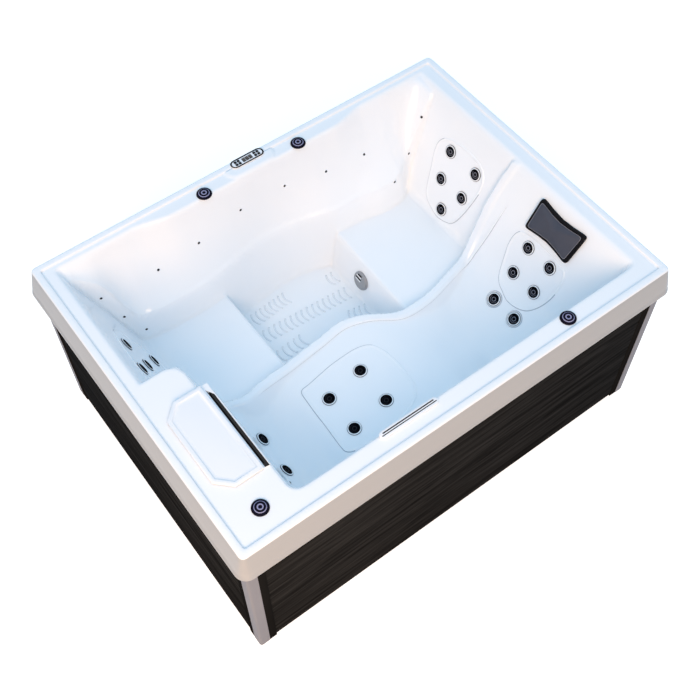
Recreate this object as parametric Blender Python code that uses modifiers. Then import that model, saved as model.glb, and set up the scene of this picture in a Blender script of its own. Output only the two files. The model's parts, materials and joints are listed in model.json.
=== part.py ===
"""An acrylic hot tub with two seats, a footwell and a full-length lounger.

Metres, +Z up. The origin is the centre of the base on the floor, +X runs along the
length towards the lounger's pillow, and +Y towards the side with the control panel.
"""

import math

import bmesh
import bpy
import numpy as np
from mathutils import Matrix, Vector

# Driving dimensions of the whole tub
length = 2.10
width = 1.58
rim_level = 0.925
seat_level = 0.44
floor_level = 0.252
ledge_level = 0.575
ridge_level = 0.495
lounge_level = 0.405
shell_wall = 0.006
clearance = 0.0003
overrun = 0.02

# The rim, the deck inside it and the lip that hangs outside it
rim_width = 0.033
rim_round = 0.004
deck_drop = 0.007
lip_height = 0.136
lip_flare = 0.029
lip_bead_height = 0.014
lip_bead_step = 0.003
lip_corner_radius = 0.050
rim_corner_radius = 0.010
half_length = length / 2
half_width = width / 2
deck_level = rim_level - deck_drop
lip_level = rim_level - lip_height
rim_inset = lip_flare + rim_width
deck_half_x = half_length - rim_inset
deck_half_y = half_width - rim_inset

# The deck's width on each side of the basin, and the wall angles
front_deck = 0.073
back_deck = 0.063
back_deck_end = 0.028
right_deck = 0.063
left_deck = 0.053
back_deck_end_share = 0.57
back_deck_mid_share = 0.38
recline = math.radians(23)
front_wall_slope = 4.5
front_edge_y = front_deck - deck_half_y
back_edge_y = deck_half_y - back_deck
back_end_y = deck_half_y - back_deck_end
right_edge_x = deck_half_x - right_deck
left_edge_x = left_deck - deck_half_x

# The footwell, between the two seats
well_left = 0.288
well_right = 0.252
well_splay = 0.015
well_length = 0.60
left_riser_slope = 9.0
right_riser_slope = 4.2

# Fillets of the moulded form
seat_fillet = 0.050
well_fillet = 0.030
well_edge_round = 0.016
ledge_round = 0.030
ledge_foot_fillet = 0.025
front_fillet = 0.090
ridge_half = 0.016
ridge_round = 0.008
deck_round = 0.030
block_fillet = 0.030

# The filter deck at the lounger's foot end, and the nose that holds the skimmer's mouth
block_width = 0.213
block_end_y = 0.05
block_corner = 0.07
nose_width = 0.255
nose_end_y = -0.10
nose_corner = 0.04
nose_blend = 0.02
block_slope = 4.2

# The back apron's lower edge: (share of half length, share of half width, and the
# share of the way up from the ledge level to the deck)
apron_edge_shares = [
    (-0.857, 0.835, 0.890),
    (-0.762, 0.785, 0.627),
    (-0.681, 0.705, 0.073),
    (-0.610, 0.684, 0.030),
    (-0.521, 0.677, 0.015),
    (-0.377, 0.677, 0.015),
    (-0.299, 0.690, 0.015),
    (-0.190, 0.722, 0.010),
    (-0.114, 0.744, 0.000),
    (0.019, 0.760, -0.015),
    (0.150, 0.734, -0.015),
    (0.278, 0.684, 0.000),
    (0.426, 0.665, 0.015),
    (0.533, 0.639, 0.030),
    (0.629, 0.652, 0.073),
    (0.724, 0.728, 0.219),
    (0.795, 0.747, 0.583),
    (0.857, 0.760, 0.918),
]

# The ridge between the seats and the lounger, in plan
ridge_shares = [
    (-0.762, 0.025),
    (-0.590, 0.006),
    (-0.533, -0.019),
    (-0.438, 0.000),
    (-0.305, 0.013),
    (-0.129, 0.038),
    (0.000, 0.051),
    (0.086, 0.013),
    (0.210, -0.078),
    (0.343, -0.086),
    (0.486, -0.044),
    (0.600, 0.000),
    (0.676, 0.038),
    (0.714, 0.051),
    (0.762, 0.063),
    (0.812, 0.063),
    (0.890, 0.044),
]

# The lounger's middle line: (share of half length, share of the way from the
# lounger's seat up to the deck), from the foot wall to the head
lounge_shares = [
    (-0.762, 1.062),
    (-0.667, 0.440),
    (-0.590, 0.105),
    (-0.548, -0.010),
    (-0.495, -0.058),
    (-0.400, -0.020),
    (-0.324, 0.058),
    (-0.190, 0.107),
    (-0.048, 0.146),
    (0.095, 0.160),
    (0.210, 0.117),
    (0.343, 0.029),
    (0.457, 0.000),
    (0.552, 0.062),
    (0.629, 0.185),
    (0.686, 0.322),
    (0.752, 0.556),
    (0.819, 0.795),
    (0.881, 1.014),
    (0.952, 1.257),
]

# Collections and finishes

for old in list(bpy.data.objects):
    bpy.data.objects.remove(old, do_unlink=True)

tub = bpy.data.collections.new("hot_tub")
bpy.context.scene.collection.children.link(tub)
cutters = bpy.data.collections.new("cutters")
bpy.context.scene.collection.children.link(cutters)
shell_holes = bpy.data.collections.new("shell_holes")
cutters.children.link(shell_holes)


def finish(name, colour, roughness, metallic=0.0):
    material = bpy.data.materials.new(name)
    material.use_nodes = True
    shader = material.node_tree.nodes["Principled BSDF"]
    shader.inputs["Base Color"].default_value = (*colour, 1.0)
    shader.inputs["Roughness"].default_value = roughness
    shader.inputs["Metallic"].default_value = metallic
    return material


acrylic = finish("white_acrylic", (0.86, 0.88, 0.91), 0.12)
white_plastic = finish("white_plastic", (0.84, 0.86, 0.88), 0.30)
dark_plastic = finish("dark_jet_plastic", (0.03, 0.03, 0.05), 0.25)
black_plastic = finish("black_plastic", (0.02, 0.02, 0.02), 0.40)
grey_plastic = finish("grey_plastic", (0.30, 0.31, 0.34), 0.40)
cabinet_plastic = finish("cabinet_board", (0.030, 0.026, 0.024), 0.55)
post_plastic = finish("corner_post_plastic", (0.24, 0.22, 0.23), 0.45)
pillow_foam = finish("pillow_foam", (0.09, 0.09, 0.13), 0.60)
window_glass = finish("display_window", (0.01, 0.01, 0.015), 0.08)
pipe_plastic = finish("white_pipe", (0.75, 0.76, 0.78), 0.35)
frame_metal = finish("frame_metal", (0.45, 0.46, 0.47), 0.40, 0.9)
pump_paint = finish("pump_paint", (0.04, 0.04, 0.045), 0.45)
filter_paper = finish("filter_fleece", (0.80, 0.82, 0.85), 0.85)

# Shapes shared by many pieces


def place(obj, material=None, collection=tub):
    collection.objects.link(obj)
    if material:
        obj.data.materials.append(material)
    if collection is not tub:
        obj.hide_render = True
        obj.display_type = "WIRE"
    return obj


def block(name, low, high, material=None, collection=tub):
    """A box between two corners, with its origin at its middle."""
    low, high = Vector(low), Vector(high)
    form = bmesh.new()
    bmesh.ops.create_cube(form, size=1.0)
    bmesh.ops.scale(form, vec=high - low, verts=form.verts)
    mesh = bpy.data.meshes.new(name)
    form.to_mesh(mesh)
    form.free()
    obj = bpy.data.objects.new(name, mesh)
    obj.location = (low + high) / 2
    return place(obj, material, collection)


def turned(name, profile, steps, material=None, collection=tub):
    """A profile of (radius, height) points, from the top of the axis down the outside."""
    mesh = bpy.data.meshes.new(name)
    points = [(radius, 0, height) for radius, height in profile]
    mesh.from_pydata(points, [(i, i + 1) for i in range(len(points) - 1)], [])
    obj = place(bpy.data.objects.new(name, mesh), material, collection)
    screw = obj.modifiers.new("turn", "SCREW")
    screw.steps = steps
    screw.render_steps = steps
    screw.use_merge_vertices = True
    screw.merge_threshold = 0.00001
    screw.use_smooth_shade = True
    return obj


def meshed(curve_object, material=None, collection=tub):
    """The same object as a mesh whose caps are welded to its sides."""
    tub.objects.link(curve_object)
    bpy.context.view_layer.update()
    graph = bpy.context.evaluated_depsgraph_get()
    mesh = bpy.data.meshes.new_from_object(curve_object.evaluated_get(graph))
    form = bmesh.new()
    form.from_mesh(mesh)
    bmesh.ops.remove_doubles(form, verts=form.verts, dist=0.00001)
    bmesh.ops.recalc_face_normals(form, faces=form.faces)
    form.to_mesh(mesh)
    form.free()
    name = curve_object.name
    matrix = curve_object.matrix_world.copy()
    bpy.data.objects.remove(curve_object, do_unlink=True)
    obj = bpy.data.objects.new(name, mesh)
    obj.matrix_world = matrix
    return place(obj, material, collection)


def plate(name, outline, thickness, location, material=None, collection=tub):
    """A flat outline in X and Y, thickened upwards from its location."""
    curve = bpy.data.curves.new(name, "CURVE")
    curve.dimensions = "2D"
    curve.fill_mode = "BOTH"
    curve.extrude = thickness / 2
    spline = curve.splines.new("POLY")
    spline.points.add(len(outline) - 1)
    for point, (x, y) in zip(spline.points, outline):
        point.co = (x, y, 0, 1)
    spline.use_cyclic_u = True
    obj = bpy.data.objects.new(name, curve)
    obj.location = Vector(location) + Vector((0, 0, thickness / 2))
    return meshed(obj, material, collection)


def tube(name, points, radius, material=None, collection=tub):
    curve = bpy.data.curves.new(name, "CURVE")
    curve.dimensions = "3D"
    curve.bevel_depth = radius
    curve.bevel_resolution = 2
    curve.use_fill_caps = True
    spline = curve.splines.new("POLY")
    spline.points.add(len(points) - 1)
    for point, place_of in zip(spline.points, points):
        point.co = (*place_of, 1)
    return meshed(bpy.data.objects.new(name, curve), material, collection)


def cut(obj, cutter, operation="DIFFERENCE"):
    boolean = obj.modifiers.new(cutter.name, "BOOLEAN")
    boolean.operation = operation
    boolean.object = cutter
    return obj


def join(obj, other):
    """Fuses a second shape into a piece."""
    return cut(obj, other, "UNION")


def bevelled(obj, radius, segments=2):
    bevel = obj.modifiers.new("rounded_edges", "BEVEL")
    bevel.width = radius
    bevel.segments = segments
    bevel.limit_method = "ANGLE"
    return obj


def stadium(long_size, short_size, steps=6):
    """The outline of a slot with round ends, centred on the origin."""
    radius = short_size / 2
    straight = long_size / 2 - radius
    outline = []
    for side in (1, -1):
        for step in range(steps + 1):
            angle = math.pi * (step / steps - 0.5)
            across = straight + radius * math.cos(angle)
            outline.append((side * across, side * radius * math.sin(angle)))
    return outline


# The moulded form of the shell, as a height over the plan


def smooth_step(t):
    t = np.clip(t, 0, 1)
    return t * t * (3 - 2 * t)


def smooth_max(a, b, blend):
    h = np.clip(0.5 + (a - b) / (2 * blend), 0, 1)
    return b + (a - b) * h + blend * h * (1 - h)


def smooth_min(a, b, blend):
    return -smooth_max(-a, -b, blend)


def through(x, stations, values):
    """A smooth curve through values at given stations."""
    slopes = np.gradient(values, stations)
    x = np.clip(x, stations[0], stations[-1])
    i = np.clip(np.searchsorted(stations, x, side="right") - 1, 0, len(stations) - 2)
    span = stations[i + 1] - stations[i]
    t = (x - stations[i]) / span
    return (
        (2 * t**3 - 3 * t**2 + 1) * values[i]
        + (t**3 - 2 * t**2 + t) * span * slopes[i]
        + (-2 * t**3 + 3 * t**2) * values[i + 1]
        + (t**3 - t**2) * span * slopes[i + 1]
    )


apron_table = np.array(apron_edge_shares)
ridge_table = np.array(ridge_shares)
lounge_table = np.array(lounge_shares)


def rounded_corner(x, y, edge_x, edge_y, radius):
    """Distance outside a corner region that ends at edge_x and edge_y."""
    dx = x - (edge_x - radius)
    dy = y - (edge_y - radius)
    outside = np.hypot(np.maximum(dx, 0), np.maximum(dy, 0))
    return outside + np.minimum(np.maximum(dx, dy), 0) - radius


def seats_and_backs(x):
    right_back = deck_level - (right_edge_x - x) / math.tan(recline)
    left_back = deck_level - (x - left_edge_x) / math.tan(recline)
    form = smooth_max(np.full_like(x, seat_level), right_back, seat_fillet)
    return smooth_max(form, left_back, seat_fillet), left_back


def apron(x, y):
    """The broad back wall and the riser under its wavy lower edge."""
    edge_y = through(x, apron_table[:, 0] * half_length, apron_table[:, 1] * half_width)
    rise = through(x, apron_table[:, 0] * half_length, apron_table[:, 2])
    edge_z = ledge_level + (deck_level - ledge_level) * rise
    back_y = back_edge_y + (back_end_y - back_edge_y) * smooth_step(
        (np.abs(x) / half_length - back_deck_mid_share) / (back_deck_end_share - back_deck_mid_share)
    )
    depth = np.maximum(back_y - edge_y, shell_wall)
    t = np.clip((y - edge_y) / depth, 0, 1)
    wall = edge_z + (deck_level - edge_z) * (apron_start_slope * t + (1 - apron_start_slope) * t**apron_power)
    wall = wall + np.maximum(y - back_y, 0) * front_wall_slope
    wall = np.where(y < edge_y, edge_z - (edge_y - y) * apron_toe_slope, wall)
    steeper = smooth_step((-x / half_length - steeper_from_share) / steeper_over_share)
    slope = ledge_riser_slope * (1 + (ledge_steepening - 1) * steeper)
    riser = edge_z - ledge_lip - (edge_y - ledge_setback - y) * slope
    return smooth_min(wall, riser, ledge_round)


apron_start_slope = 0.55
apron_power = 2.2
apron_toe_slope = 0.6
ledge_lip = 0.010
ledge_setback = 0.012
ledge_riser_slope = 5.0
ledge_steepening = 1.2
steeper_from_share = 0.05
steeper_over_share = 0.20


def footwell(x, y):
    right = well_right - well_splay * np.clip((well_length - y) / well_length, 0, 1)
    left_riser = floor_level + (-well_left - x) * left_riser_slope
    right_riser = floor_level + (x - right) * right_riser_slope
    form = smooth_max(np.full_like(x, floor_level), left_riser, well_fillet)
    return smooth_max(form, right_riser, well_fillet)


ridge_over_lounge = 0.012
ridge_lip = 0.012
ridge_blend = 0.020
lounge_dish_share = 0.38
ridge_lounge_slope = 1.2
ridge_seat_slope = 6.0


def lounger(x, y, left_back):
    ridge_y = through(x, ridge_table[:, 0] * half_length, ridge_table[:, 1] * half_width)
    share = through(x, lounge_table[:, 0] * half_length, lounge_table[:, 1])
    middle = lounge_level + (deck_level - lounge_level) * share
    crest = smooth_max(np.full_like(x, ridge_level), middle + ridge_over_lounge, ridge_blend)
    crest = smooth_max(crest, left_back, ridge_blend)
    crest = np.minimum(crest, deck_level)
    beyond = y - ridge_y
    across = np.clip(-beyond / (ridge_y - front_edge_y), 0, 1)
    dish = np.clip(1 - across / lounge_dish_share, 0, 1) ** 2
    bed = middle + np.maximum(crest - ridge_lip - middle, 0) * dish
    front_wall = deck_level - (y - front_edge_y) * front_wall_slope
    bed = smooth_max(bed, front_wall, front_fillet)
    fall = np.where(beyond < 0, ridge_lounge_slope, ridge_seat_slope)
    ridge = crest - np.maximum(np.abs(beyond) - ridge_half, 0) * fall
    return bed, ridge, beyond


def filter_block(x, y):
    wide = rounded_corner(x, y, block_width - deck_half_x, block_end_y, block_corner)
    nose = rounded_corner(x, y, nose_width - deck_half_x, nose_end_y, nose_corner)
    outside = smooth_min(wide, nose, nose_blend)
    return deck_level - np.maximum(outside, -deck_round) * block_slope


# The raised plinth under the control panel
plinth_length = 0.250
plinth_width = 0.100
plinth_margin = 0.011
plinth_fall = 0.012
plinth_y = deck_half_y - plinth_margin


def plinth(x, y):
    radius = plinth_width / 2
    straight = plinth_length / 2 - radius
    outside = np.hypot(np.maximum(np.abs(x) - straight, 0), y - plinth_y) - radius
    return smooth_step(-outside / plinth_fall) * deck_drop


def basin_height(x, y):
    """Height of the shell's top face inside the raised rim."""
    x, y = np.broadcast_arrays(np.asarray(x, float), np.asarray(y, float))
    form, left_back = seats_and_backs(x)
    form = smooth_min(form, footwell(x, y), well_edge_round)
    wall = apron(x, y)
    form = smooth_max(form, wall, ledge_foot_fillet)
    bed, ridge, beyond = lounger(x, y, left_back)
    form = np.where(beyond < 0, bed, form)
    form = smooth_max(form, ridge, ridge_round)
    form = smooth_max(form, filter_block(x, y), block_fillet)
    return smooth_min(form, np.full_like(x, deck_level), deck_round) + plinth(x, y)


def surface_frame(x, y, step=shell_wall):
    """A place on the shell: its point and the way the surface faces there."""
    z = float(basin_height(x, y))
    slope_x = float(basin_height(x + step, y) - basin_height(x - step, y)) / (2 * step)
    slope_y = float(basin_height(x, y + step) - basin_height(x, y - step)) / (2 * step)
    return Vector((x, y, z)), Vector((-slope_x, -slope_y, 1)).normalized()


def upright_matrix(point, normal):
    """Puts a piece's own +Z along the normal, with its +X level."""
    side = Vector((0, 0, 1)).cross(normal)
    side = side.normalized() if side.length > 0.05 else Vector((1, 0, 0))
    forward = normal.cross(side)
    turn = Matrix((side, forward, normal)).transposed().to_4x4()
    return Matrix.Translation(point) @ turn


# Where the jets sit: shares of the half length and of the half width
jet_shares = {
    "right_seat_jet": [(0.807, 0.471), (0.807, 0.254), (0.754, 0.453), (0.754, 0.268), (0.708, 0.362)],
    "left_seat_jet": [(-0.814, 0.447), (-0.826, 0.250), (-0.783, 0.337), (-0.726, 0.453), (-0.726, 0.250)],
    "lounge_back_jet": [
        (0.751, -0.287),
        (0.751, -0.458),
        (0.686, -0.290),
        (0.686, -0.457),
        (0.589, -0.299),
        (0.589, -0.467),
    ],
    "calf_jet": [(-0.080, -0.234), (-0.249, -0.260), (-0.080, -0.461), (-0.249, -0.482)],
    "foot_jet": [(-0.555, -0.225), (-0.555, -0.443)],
}
jet_seat_radius = 0.034
jet_seat_blend = 0.012
jet_places = {}
for group, spots in jet_shares.items():
    for number, (share_x, share_y) in enumerate(spots, 1):
        jet_places[f"{group}_{number}"] = surface_frame(share_x * half_length, share_y * half_width)

# The suction cover stands on the footwell's right riser, a set height above the floor
suction_radius = 0.047
suction_rise = 0.091
suction_y_share = 0.337
suction_seat_radius = 0.051
suction_y = suction_y_share * half_width
suction_x = well_right - well_splay * (1 - suction_y / well_length) + suction_rise / right_riser_slope
suction_point, suction_normal = surface_frame(suction_x, suction_y)

# The pillow's flat seat near the head of the lounger
pillow_length = 0.250
pillow_height = 0.150
pillow_depth = 0.038
pillow_corner = 0.030
pillow_seat_margin = 0.004
pillow_seat_blend = 0.030
pillow_x_share = 0.820
pillow_y_share = -0.370
pillow_point, pillow_normal = surface_frame(
    pillow_x_share * half_length, pillow_y_share * half_width, pillow_height / 3
)


def seated(form, x, y, point, normal, outside, blend):
    """The form with a flat place where outside is below zero."""
    plane = point.z - (normal.x * (x - point.x) + normal.y * (y - point.y)) / normal.z
    weight = smooth_step(1 - outside(x - point.x, y - point.y, plane - point.z) / blend)
    return form + (plane - form) * weight


def round_seat(radius):
    return lambda dx, dy, dz: np.sqrt(dx**2 + dy**2 + dz**2) - radius


def pillow_seat(dx, dy, dz):
    half_x = pillow_length / 2 + pillow_seat_margin
    half_y = pillow_height / 2 + pillow_seat_margin
    return rounded_corner(np.abs(dy), np.sqrt(dx**2 + dz**2), half_x, half_y, pillow_corner)


def shell_height(x, y):
    """The basin with a flat seat moulded for each fitting."""
    form = basin_height(x, y)
    form = seated(form, x, y, pillow_point, pillow_normal, pillow_seat, pillow_seat_blend)
    form = seated(form, x, y, suction_point, suction_normal, round_seat(suction_seat_radius), jet_seat_blend)
    for point, normal in jet_places.values():
        form = seated(form, x, y, point, normal, round_seat(jet_seat_radius), jet_seat_blend)
    return form


# The shell: one acrylic sheet over the rim, the deck and the basin
shell_cell = 0.006
steepest_drop = 4.0
ball_shares = (0.60, 0.87, 0.98)
shell_keep = 0.0155


def shell_rings():
    """The rim and the lip: (distance out from the deck, height, corner radius)."""
    bead_level = lip_level + lip_bead_height
    above_bead = (rim_level - bead_level) / lip_height
    span = rim_width + lip_flare
    reach = span - lip_bead_step
    bead_out = rim_width + (lip_flare - lip_bead_step) * above_bead
    return [
        (rim_round, rim_level, rim_corner_radius),
        (rim_width - rim_round, rim_level, rim_corner_radius),
        (rim_width, rim_level - rim_round, rim_corner_radius + rim_round),
        (bead_out, bead_level + rim_round / 2, lip_corner_radius - lip_bead_step),
        (reach + lip_bead_step * above_bead, bead_level - rim_round / 2, lip_corner_radius),
        (span, lip_level, lip_corner_radius),
    ]


def stations(half, rings):
    inner = np.linspace(-half, half, round(2 * half / shell_cell) + 1)
    outer = np.array([half + out for out, level, radius in rings])
    places = np.concatenate([-outer[::-1], inner, outer])
    steps_out = np.arange(1, len(outer) + 1)
    depth = np.concatenate([steps_out[::-1], np.zeros(len(inner), int), steps_out])
    return places, depth


def round_the_corners(x, y, ring, rings):
    """Bends the square corners of each ring into arcs."""
    for number, (out, level, radius) in enumerate(rings, 1):
        reach_x, reach_y = deck_half_x + out, deck_half_y + out
        across = np.abs(x) - (reach_x - radius)
        along = np.abs(y) - (reach_y - radius)
        here = (ring == number) & (across > 0) & (along > 0)
        turn = np.where(across > along, along / radius, 2 - across / radius) * math.radians(45)
        x_arc = np.sign(x) * (reach_x - radius + radius * np.cos(turn))
        y_arc = np.sign(y) * (reach_y - radius + radius * np.sin(turn))
        x, y = np.where(here, x_arc, x), np.where(here, y_arc, y)
    return x, y


def underside(x, y, z):
    """Where each place on the shell's top face meets the underside, a wall below it."""
    low = z - shell_wall
    for share in ball_shares:
        depth = shell_wall * math.sqrt(1 - share**2)
        for step in range(8):
            angle = 2 * math.pi * step / 8
            reach = shell_wall * share
            beside = shell_height(x + reach * math.cos(angle), y + reach * math.sin(angle))
            low = np.minimum(low, beside - depth)
    drop = np.minimum(z - low, shell_wall * steepest_drop)
    out = np.maximum(np.abs(x) - deck_half_x, np.abs(y) - deck_half_y)
    drop = np.where(out > 0, np.maximum(shell_wall - (rim_level - z), 0), drop)
    inward = shell_wall * np.clip(out / rim_width, 0, 1)
    across = np.maximum(np.abs(x) - (half_length - lip_corner_radius * 1.2), 0)
    along = np.maximum(np.abs(y) - (half_width - lip_corner_radius * 1.2), 0)
    reach = np.maximum(np.hypot(across, along), clearance)
    return x - np.sign(x) * inward * across / reach, y - np.sign(y) * inward * along / reach, z - drop


def thickened(skin):
    """A closed body between a skin and its underside."""
    form = bmesh.new()
    form.from_mesh(skin)
    top = list(form.verts)
    faces = list(form.faces)
    rim = [loop for face in faces for loop in face.loops if loop.edge.is_boundary]
    rim = [(loop.vert, loop.link_loop_next.vert) for loop in rim]
    below = underside(*np.array([vertex.co for vertex in top]).T)
    partner = {vertex: form.verts.new(place_of) for vertex, place_of in zip(top, zip(*below))}
    for face in faces:
        form.faces.new([partner[vertex] for vertex in reversed(face.verts)])
    for start, end in rim:
        form.faces.new((end, start, partner[start], partner[end]))
    body = bpy.data.meshes.new("tub_shell")
    form.to_mesh(body)
    form.free()
    return body


def make_shell():
    rings = shell_rings()
    xs, depth_x = stations(deck_half_x, rings)
    ys, depth_y = stations(deck_half_y, rings)
    x, y = np.meshgrid(xs, ys, indexing="ij")
    ring = np.maximum.outer(depth_x, depth_y)
    z = shell_height(x, y)
    for number, (out, level, radius) in enumerate(rings, 1):
        z = np.where(ring == number, level, z)
    x, y = round_the_corners(x, y, ring, rings)
    points = np.stack([x, y, z], axis=-1).reshape(-1, 3)
    count = len(ys)
    corner = (np.arange(len(xs) - 1)[:, None] * count + np.arange(count - 1)).reshape(-1)
    faces = np.stack([corner, corner + count, corner + count + 1, corner + 1], axis=1)
    mesh = bpy.data.meshes.new("shell_skin")
    mesh.from_pydata(points.tolist(), [], faces.tolist())
    skin = place(bpy.data.objects.new("shell_skin", mesh))
    thin = skin.modifiers.new("fewer_faces", "DECIMATE")
    thin.ratio = shell_keep
    bpy.context.view_layer.update()
    graph = bpy.context.evaluated_depsgraph_get()
    fewer = bpy.data.meshes.new_from_object(skin.evaluated_get(graph))
    bpy.data.objects.remove(skin, do_unlink=True)
    body = thickened(fewer)
    body.shade_smooth()
    return place(bpy.data.objects.new("tub_shell", body), acrylic)


tub_shell = make_shell()


def hole(name, matrix, radius, depth, steps=16):
    """A round hole through the shell along a fitting's own Z."""
    profile = [(0, depth), (radius, depth), (radius, -depth), (0, -depth)]
    turned(name, profile, steps, collection=shell_holes).matrix_world = matrix


# The jets: a turning face in a ring, with its barrel through the shell
jet_radius = 0.0315
jet_rise = 0.006
jet_barrel_radius = 0.025
jet_barrel_length = 0.032
jet_stand_off = 0.0008
jet_hole_slack = 0.0014
jet_steps = 12
jet_face_shares = [(0, 0.45), (0.33, 0.72), (0.75, 0.42), (0.85, 1.0), (1.0, 0.66)]
jet_profile = [(r * jet_radius, z * jet_rise) for r, z in jet_face_shares] + [
    (jet_radius, jet_stand_off),
    (jet_barrel_radius, jet_stand_off),
    (jet_barrel_radius, -jet_barrel_length),
    (0, -jet_barrel_length),
]
for jet_name, (point, normal) in jet_places.items():
    jet = turned(jet_name, jet_profile, jet_steps, dark_plastic)
    jet.matrix_world = upright_matrix(point, normal)
    hole(jet_name + "_hole", jet.matrix_world.copy(), jet_barrel_radius + jet_hole_slack, jet_barrel_length)

# The suction cover, a ribbed disc with its tail through the riser
suction_depth = 0.014
suction_tail_radius = 0.022
suction_tail_length = 0.034
suction_steps = 20
suction_face_shares = [
    (0, 0.85),
    (0.20, 0.85),
    (0.24, 0.55),
    (0.36, 0.55),
    (0.40, 1.0),
    (0.56, 1.0),
    (0.60, 0.60),
    (0.74, 0.60),
    (0.78, 0.95),
    (0.92, 0.85),
    (1.0, 0.35),
]
suction_profile = [(r * suction_radius, z * suction_depth) for r, z in suction_face_shares] + [
    (suction_radius, jet_stand_off),
    (suction_tail_radius, jet_stand_off),
    (suction_tail_radius, -suction_tail_length),
    (0, -suction_tail_length),
]
suction_cover = turned("suction_cover", suction_profile, suction_steps, grey_plastic)
suction_cover.matrix_world = upright_matrix(suction_point, suction_normal)
hole(
    "suction_hole",
    suction_cover.matrix_world.copy(),
    suction_tail_radius + jet_hole_slack,
    suction_tail_length,
)

# The valve knobs on the deck, each on a stem through it
knob_radius = 0.0333
knob_height = 0.012
knob_stem_radius = 0.011
knob_stem_length = 0.030
knob_steps = 18
knob_face_shares = [(0, 0.90), (0.42, 0.90), (0.48, 1.0), (0.84, 1.0), (0.97, 0.85), (1.0, 0.60)]
knob_place_shares = [(-0.238, 0.864), (0.219, 0.864), (-0.819, -0.804), (0.510, -0.872)]
knob_profile = [(r * knob_radius, z * knob_height) for r, z in knob_face_shares] + [
    (knob_radius, jet_stand_off),
    (knob_stem_radius, jet_stand_off),
    (knob_stem_radius, -knob_stem_length),
    (0, -knob_stem_length),
]
for number, (share_x, share_y) in enumerate(knob_place_shares, 1):
    knob = turned(f"valve_knob_{number}", knob_profile, knob_steps, dark_plastic)
    knob.location = (share_x * half_length, share_y * half_width, deck_level)
    bpy.context.view_layer.update()
    hole(f"knob_{number}_hole", knob.matrix_world.copy(), knob_stem_radius + jet_hole_slack, knob_stem_length)

# The waterfall spout on the front deck's edge, a flat bar with two long slots
spout_length = 0.268
spout_width = 0.032
spout_height = 0.010
spout_overhang = 0.004
spout_middle_share = -0.219
spout_slot_length = 0.236
spout_slot_width = 0.004
spout_slot_depth = 0.006
spout_slot_pitch = 0.009
spout_tail_radius = 0.009
spout_tail_length = 0.030
spout_x = spout_middle_share * half_length
spout_y = front_edge_y + spout_overhang - spout_width / 2
spout_tail_y = front_edge_y - spout_tail_radius * 1.5
waterfall_spout = plate(
    "waterfall_spout",
    stadium(spout_length, spout_width, 4),
    spout_height - clearance,
    (spout_x, spout_y, deck_level + clearance),
    white_plastic,
)
for number, side in enumerate((-1, 1), 1):
    slot = plate(
        f"spout_slot_{number}",
        stadium(spout_slot_length, spout_slot_width, 2),
        overrun,
        (spout_x, spout_y + side * spout_slot_pitch / 2, deck_level + spout_height - spout_slot_depth),
        collection=cutters,
    )
    cut(waterfall_spout, slot)
spout_tail = turned(
    "spout_tail",
    [
        (0, spout_height / 4),
        (spout_tail_radius, spout_height / 4),
        (spout_tail_radius, -spout_tail_length),
        (0, -spout_tail_length),
    ],
    12,
    collection=cutters,
)
spout_tail.location = (spout_x, spout_tail_y, deck_level)
join(waterfall_spout, spout_tail)
bpy.context.view_layer.update()
hole("spout_hole", spout_tail.matrix_world.copy(), spout_tail_radius + clearance * 2, spout_tail_length)

# The filter deck: lid, skimmer housing, weir flap and cartridge
lid_margin = 0.043
lid_width = 0.180
lid_length = 0.420
lid_front_margin = 0.135
lid_chamfer = 0.060
lid_thickness = 0.009
lid_border = 0.014
lid_pocket_depth = 0.003
lid_skirt_depth = 0.010
flange_inset = 0.003
flange_thickness = 0.003
housing_inset = 0.014
mouth_width = 0.024
mouth_border = 0.006
housing_gap = 0.0015
housing_wall = 0.003
housing_depth = 0.280
chamfer_inset_share = 2 - math.sqrt(2)
lid_left = lid_margin - deck_half_x
lid_right = lid_left + lid_width
lid_front = front_edge_y + lid_front_margin
lid_back = lid_front + lid_length
mouth_right = lid_right + mouth_width
flange_level = deck_level + flange_thickness


def filter_outline(inset, right):
    """The lid's outline in plan, drawn in by an inset on every side but the right."""
    left, front, back = lid_left + inset, lid_front + inset, lid_back - inset
    chamfer = lid_chamfer - inset * chamfer_inset_share
    return [
        (right, front),
        (right, back),
        (left + chamfer, back),
        (left, back - chamfer),
        (left, front + chamfer),
        (left + chamfer, front),
    ]


plate(
    "housing_hole",
    filter_outline(housing_inset, mouth_right - mouth_border),
    overrun * 2,
    (0, 0, deck_level - overrun),
    collection=shell_holes,
)
skimmer_housing = plate(
    "skimmer_housing",
    filter_outline(flange_inset, mouth_right),
    flange_thickness - clearance,
    (0, 0, deck_level + clearance),
    black_plastic,
)
housing_inner = housing_inset + housing_gap
housing_right = mouth_right - mouth_border - housing_gap
housing_body = plate(
    "housing_body",
    filter_outline(housing_inner, housing_right),
    housing_depth,
    (0, 0, flange_level - flange_thickness / 2 - housing_depth),
    collection=cutters,
)
join(skimmer_housing, housing_body)
housing_well = plate(
    "housing_well",
    filter_outline(housing_inner + housing_wall, housing_right - housing_wall),
    housing_depth + overrun,
    (0, 0, flange_level - housing_depth + housing_wall),
    collection=cutters,
)
cut(skimmer_housing, housing_well)

filter_lid = plate(
    "filter_lid",
    filter_outline(0, lid_right),
    lid_thickness,
    (0, 0, flange_level + clearance),
    white_plastic,
)
lid_pocket = plate(
    "lid_pocket",
    filter_outline(lid_border, lid_right - lid_border),
    overrun,
    (0, 0, flange_level + lid_thickness - lid_pocket_depth),
    collection=cutters,
)
cut(filter_lid, lid_pocket)
skirt_inset = housing_inner + housing_wall * 2
lid_skirt = plate(
    "lid_skirt",
    filter_outline(skirt_inset, lid_right - skirt_inset),
    lid_skirt_depth + lid_thickness / 2,
    (0, 0, flange_level - lid_skirt_depth),
    collection=cutters,
)
join(filter_lid, lid_skirt)

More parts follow.
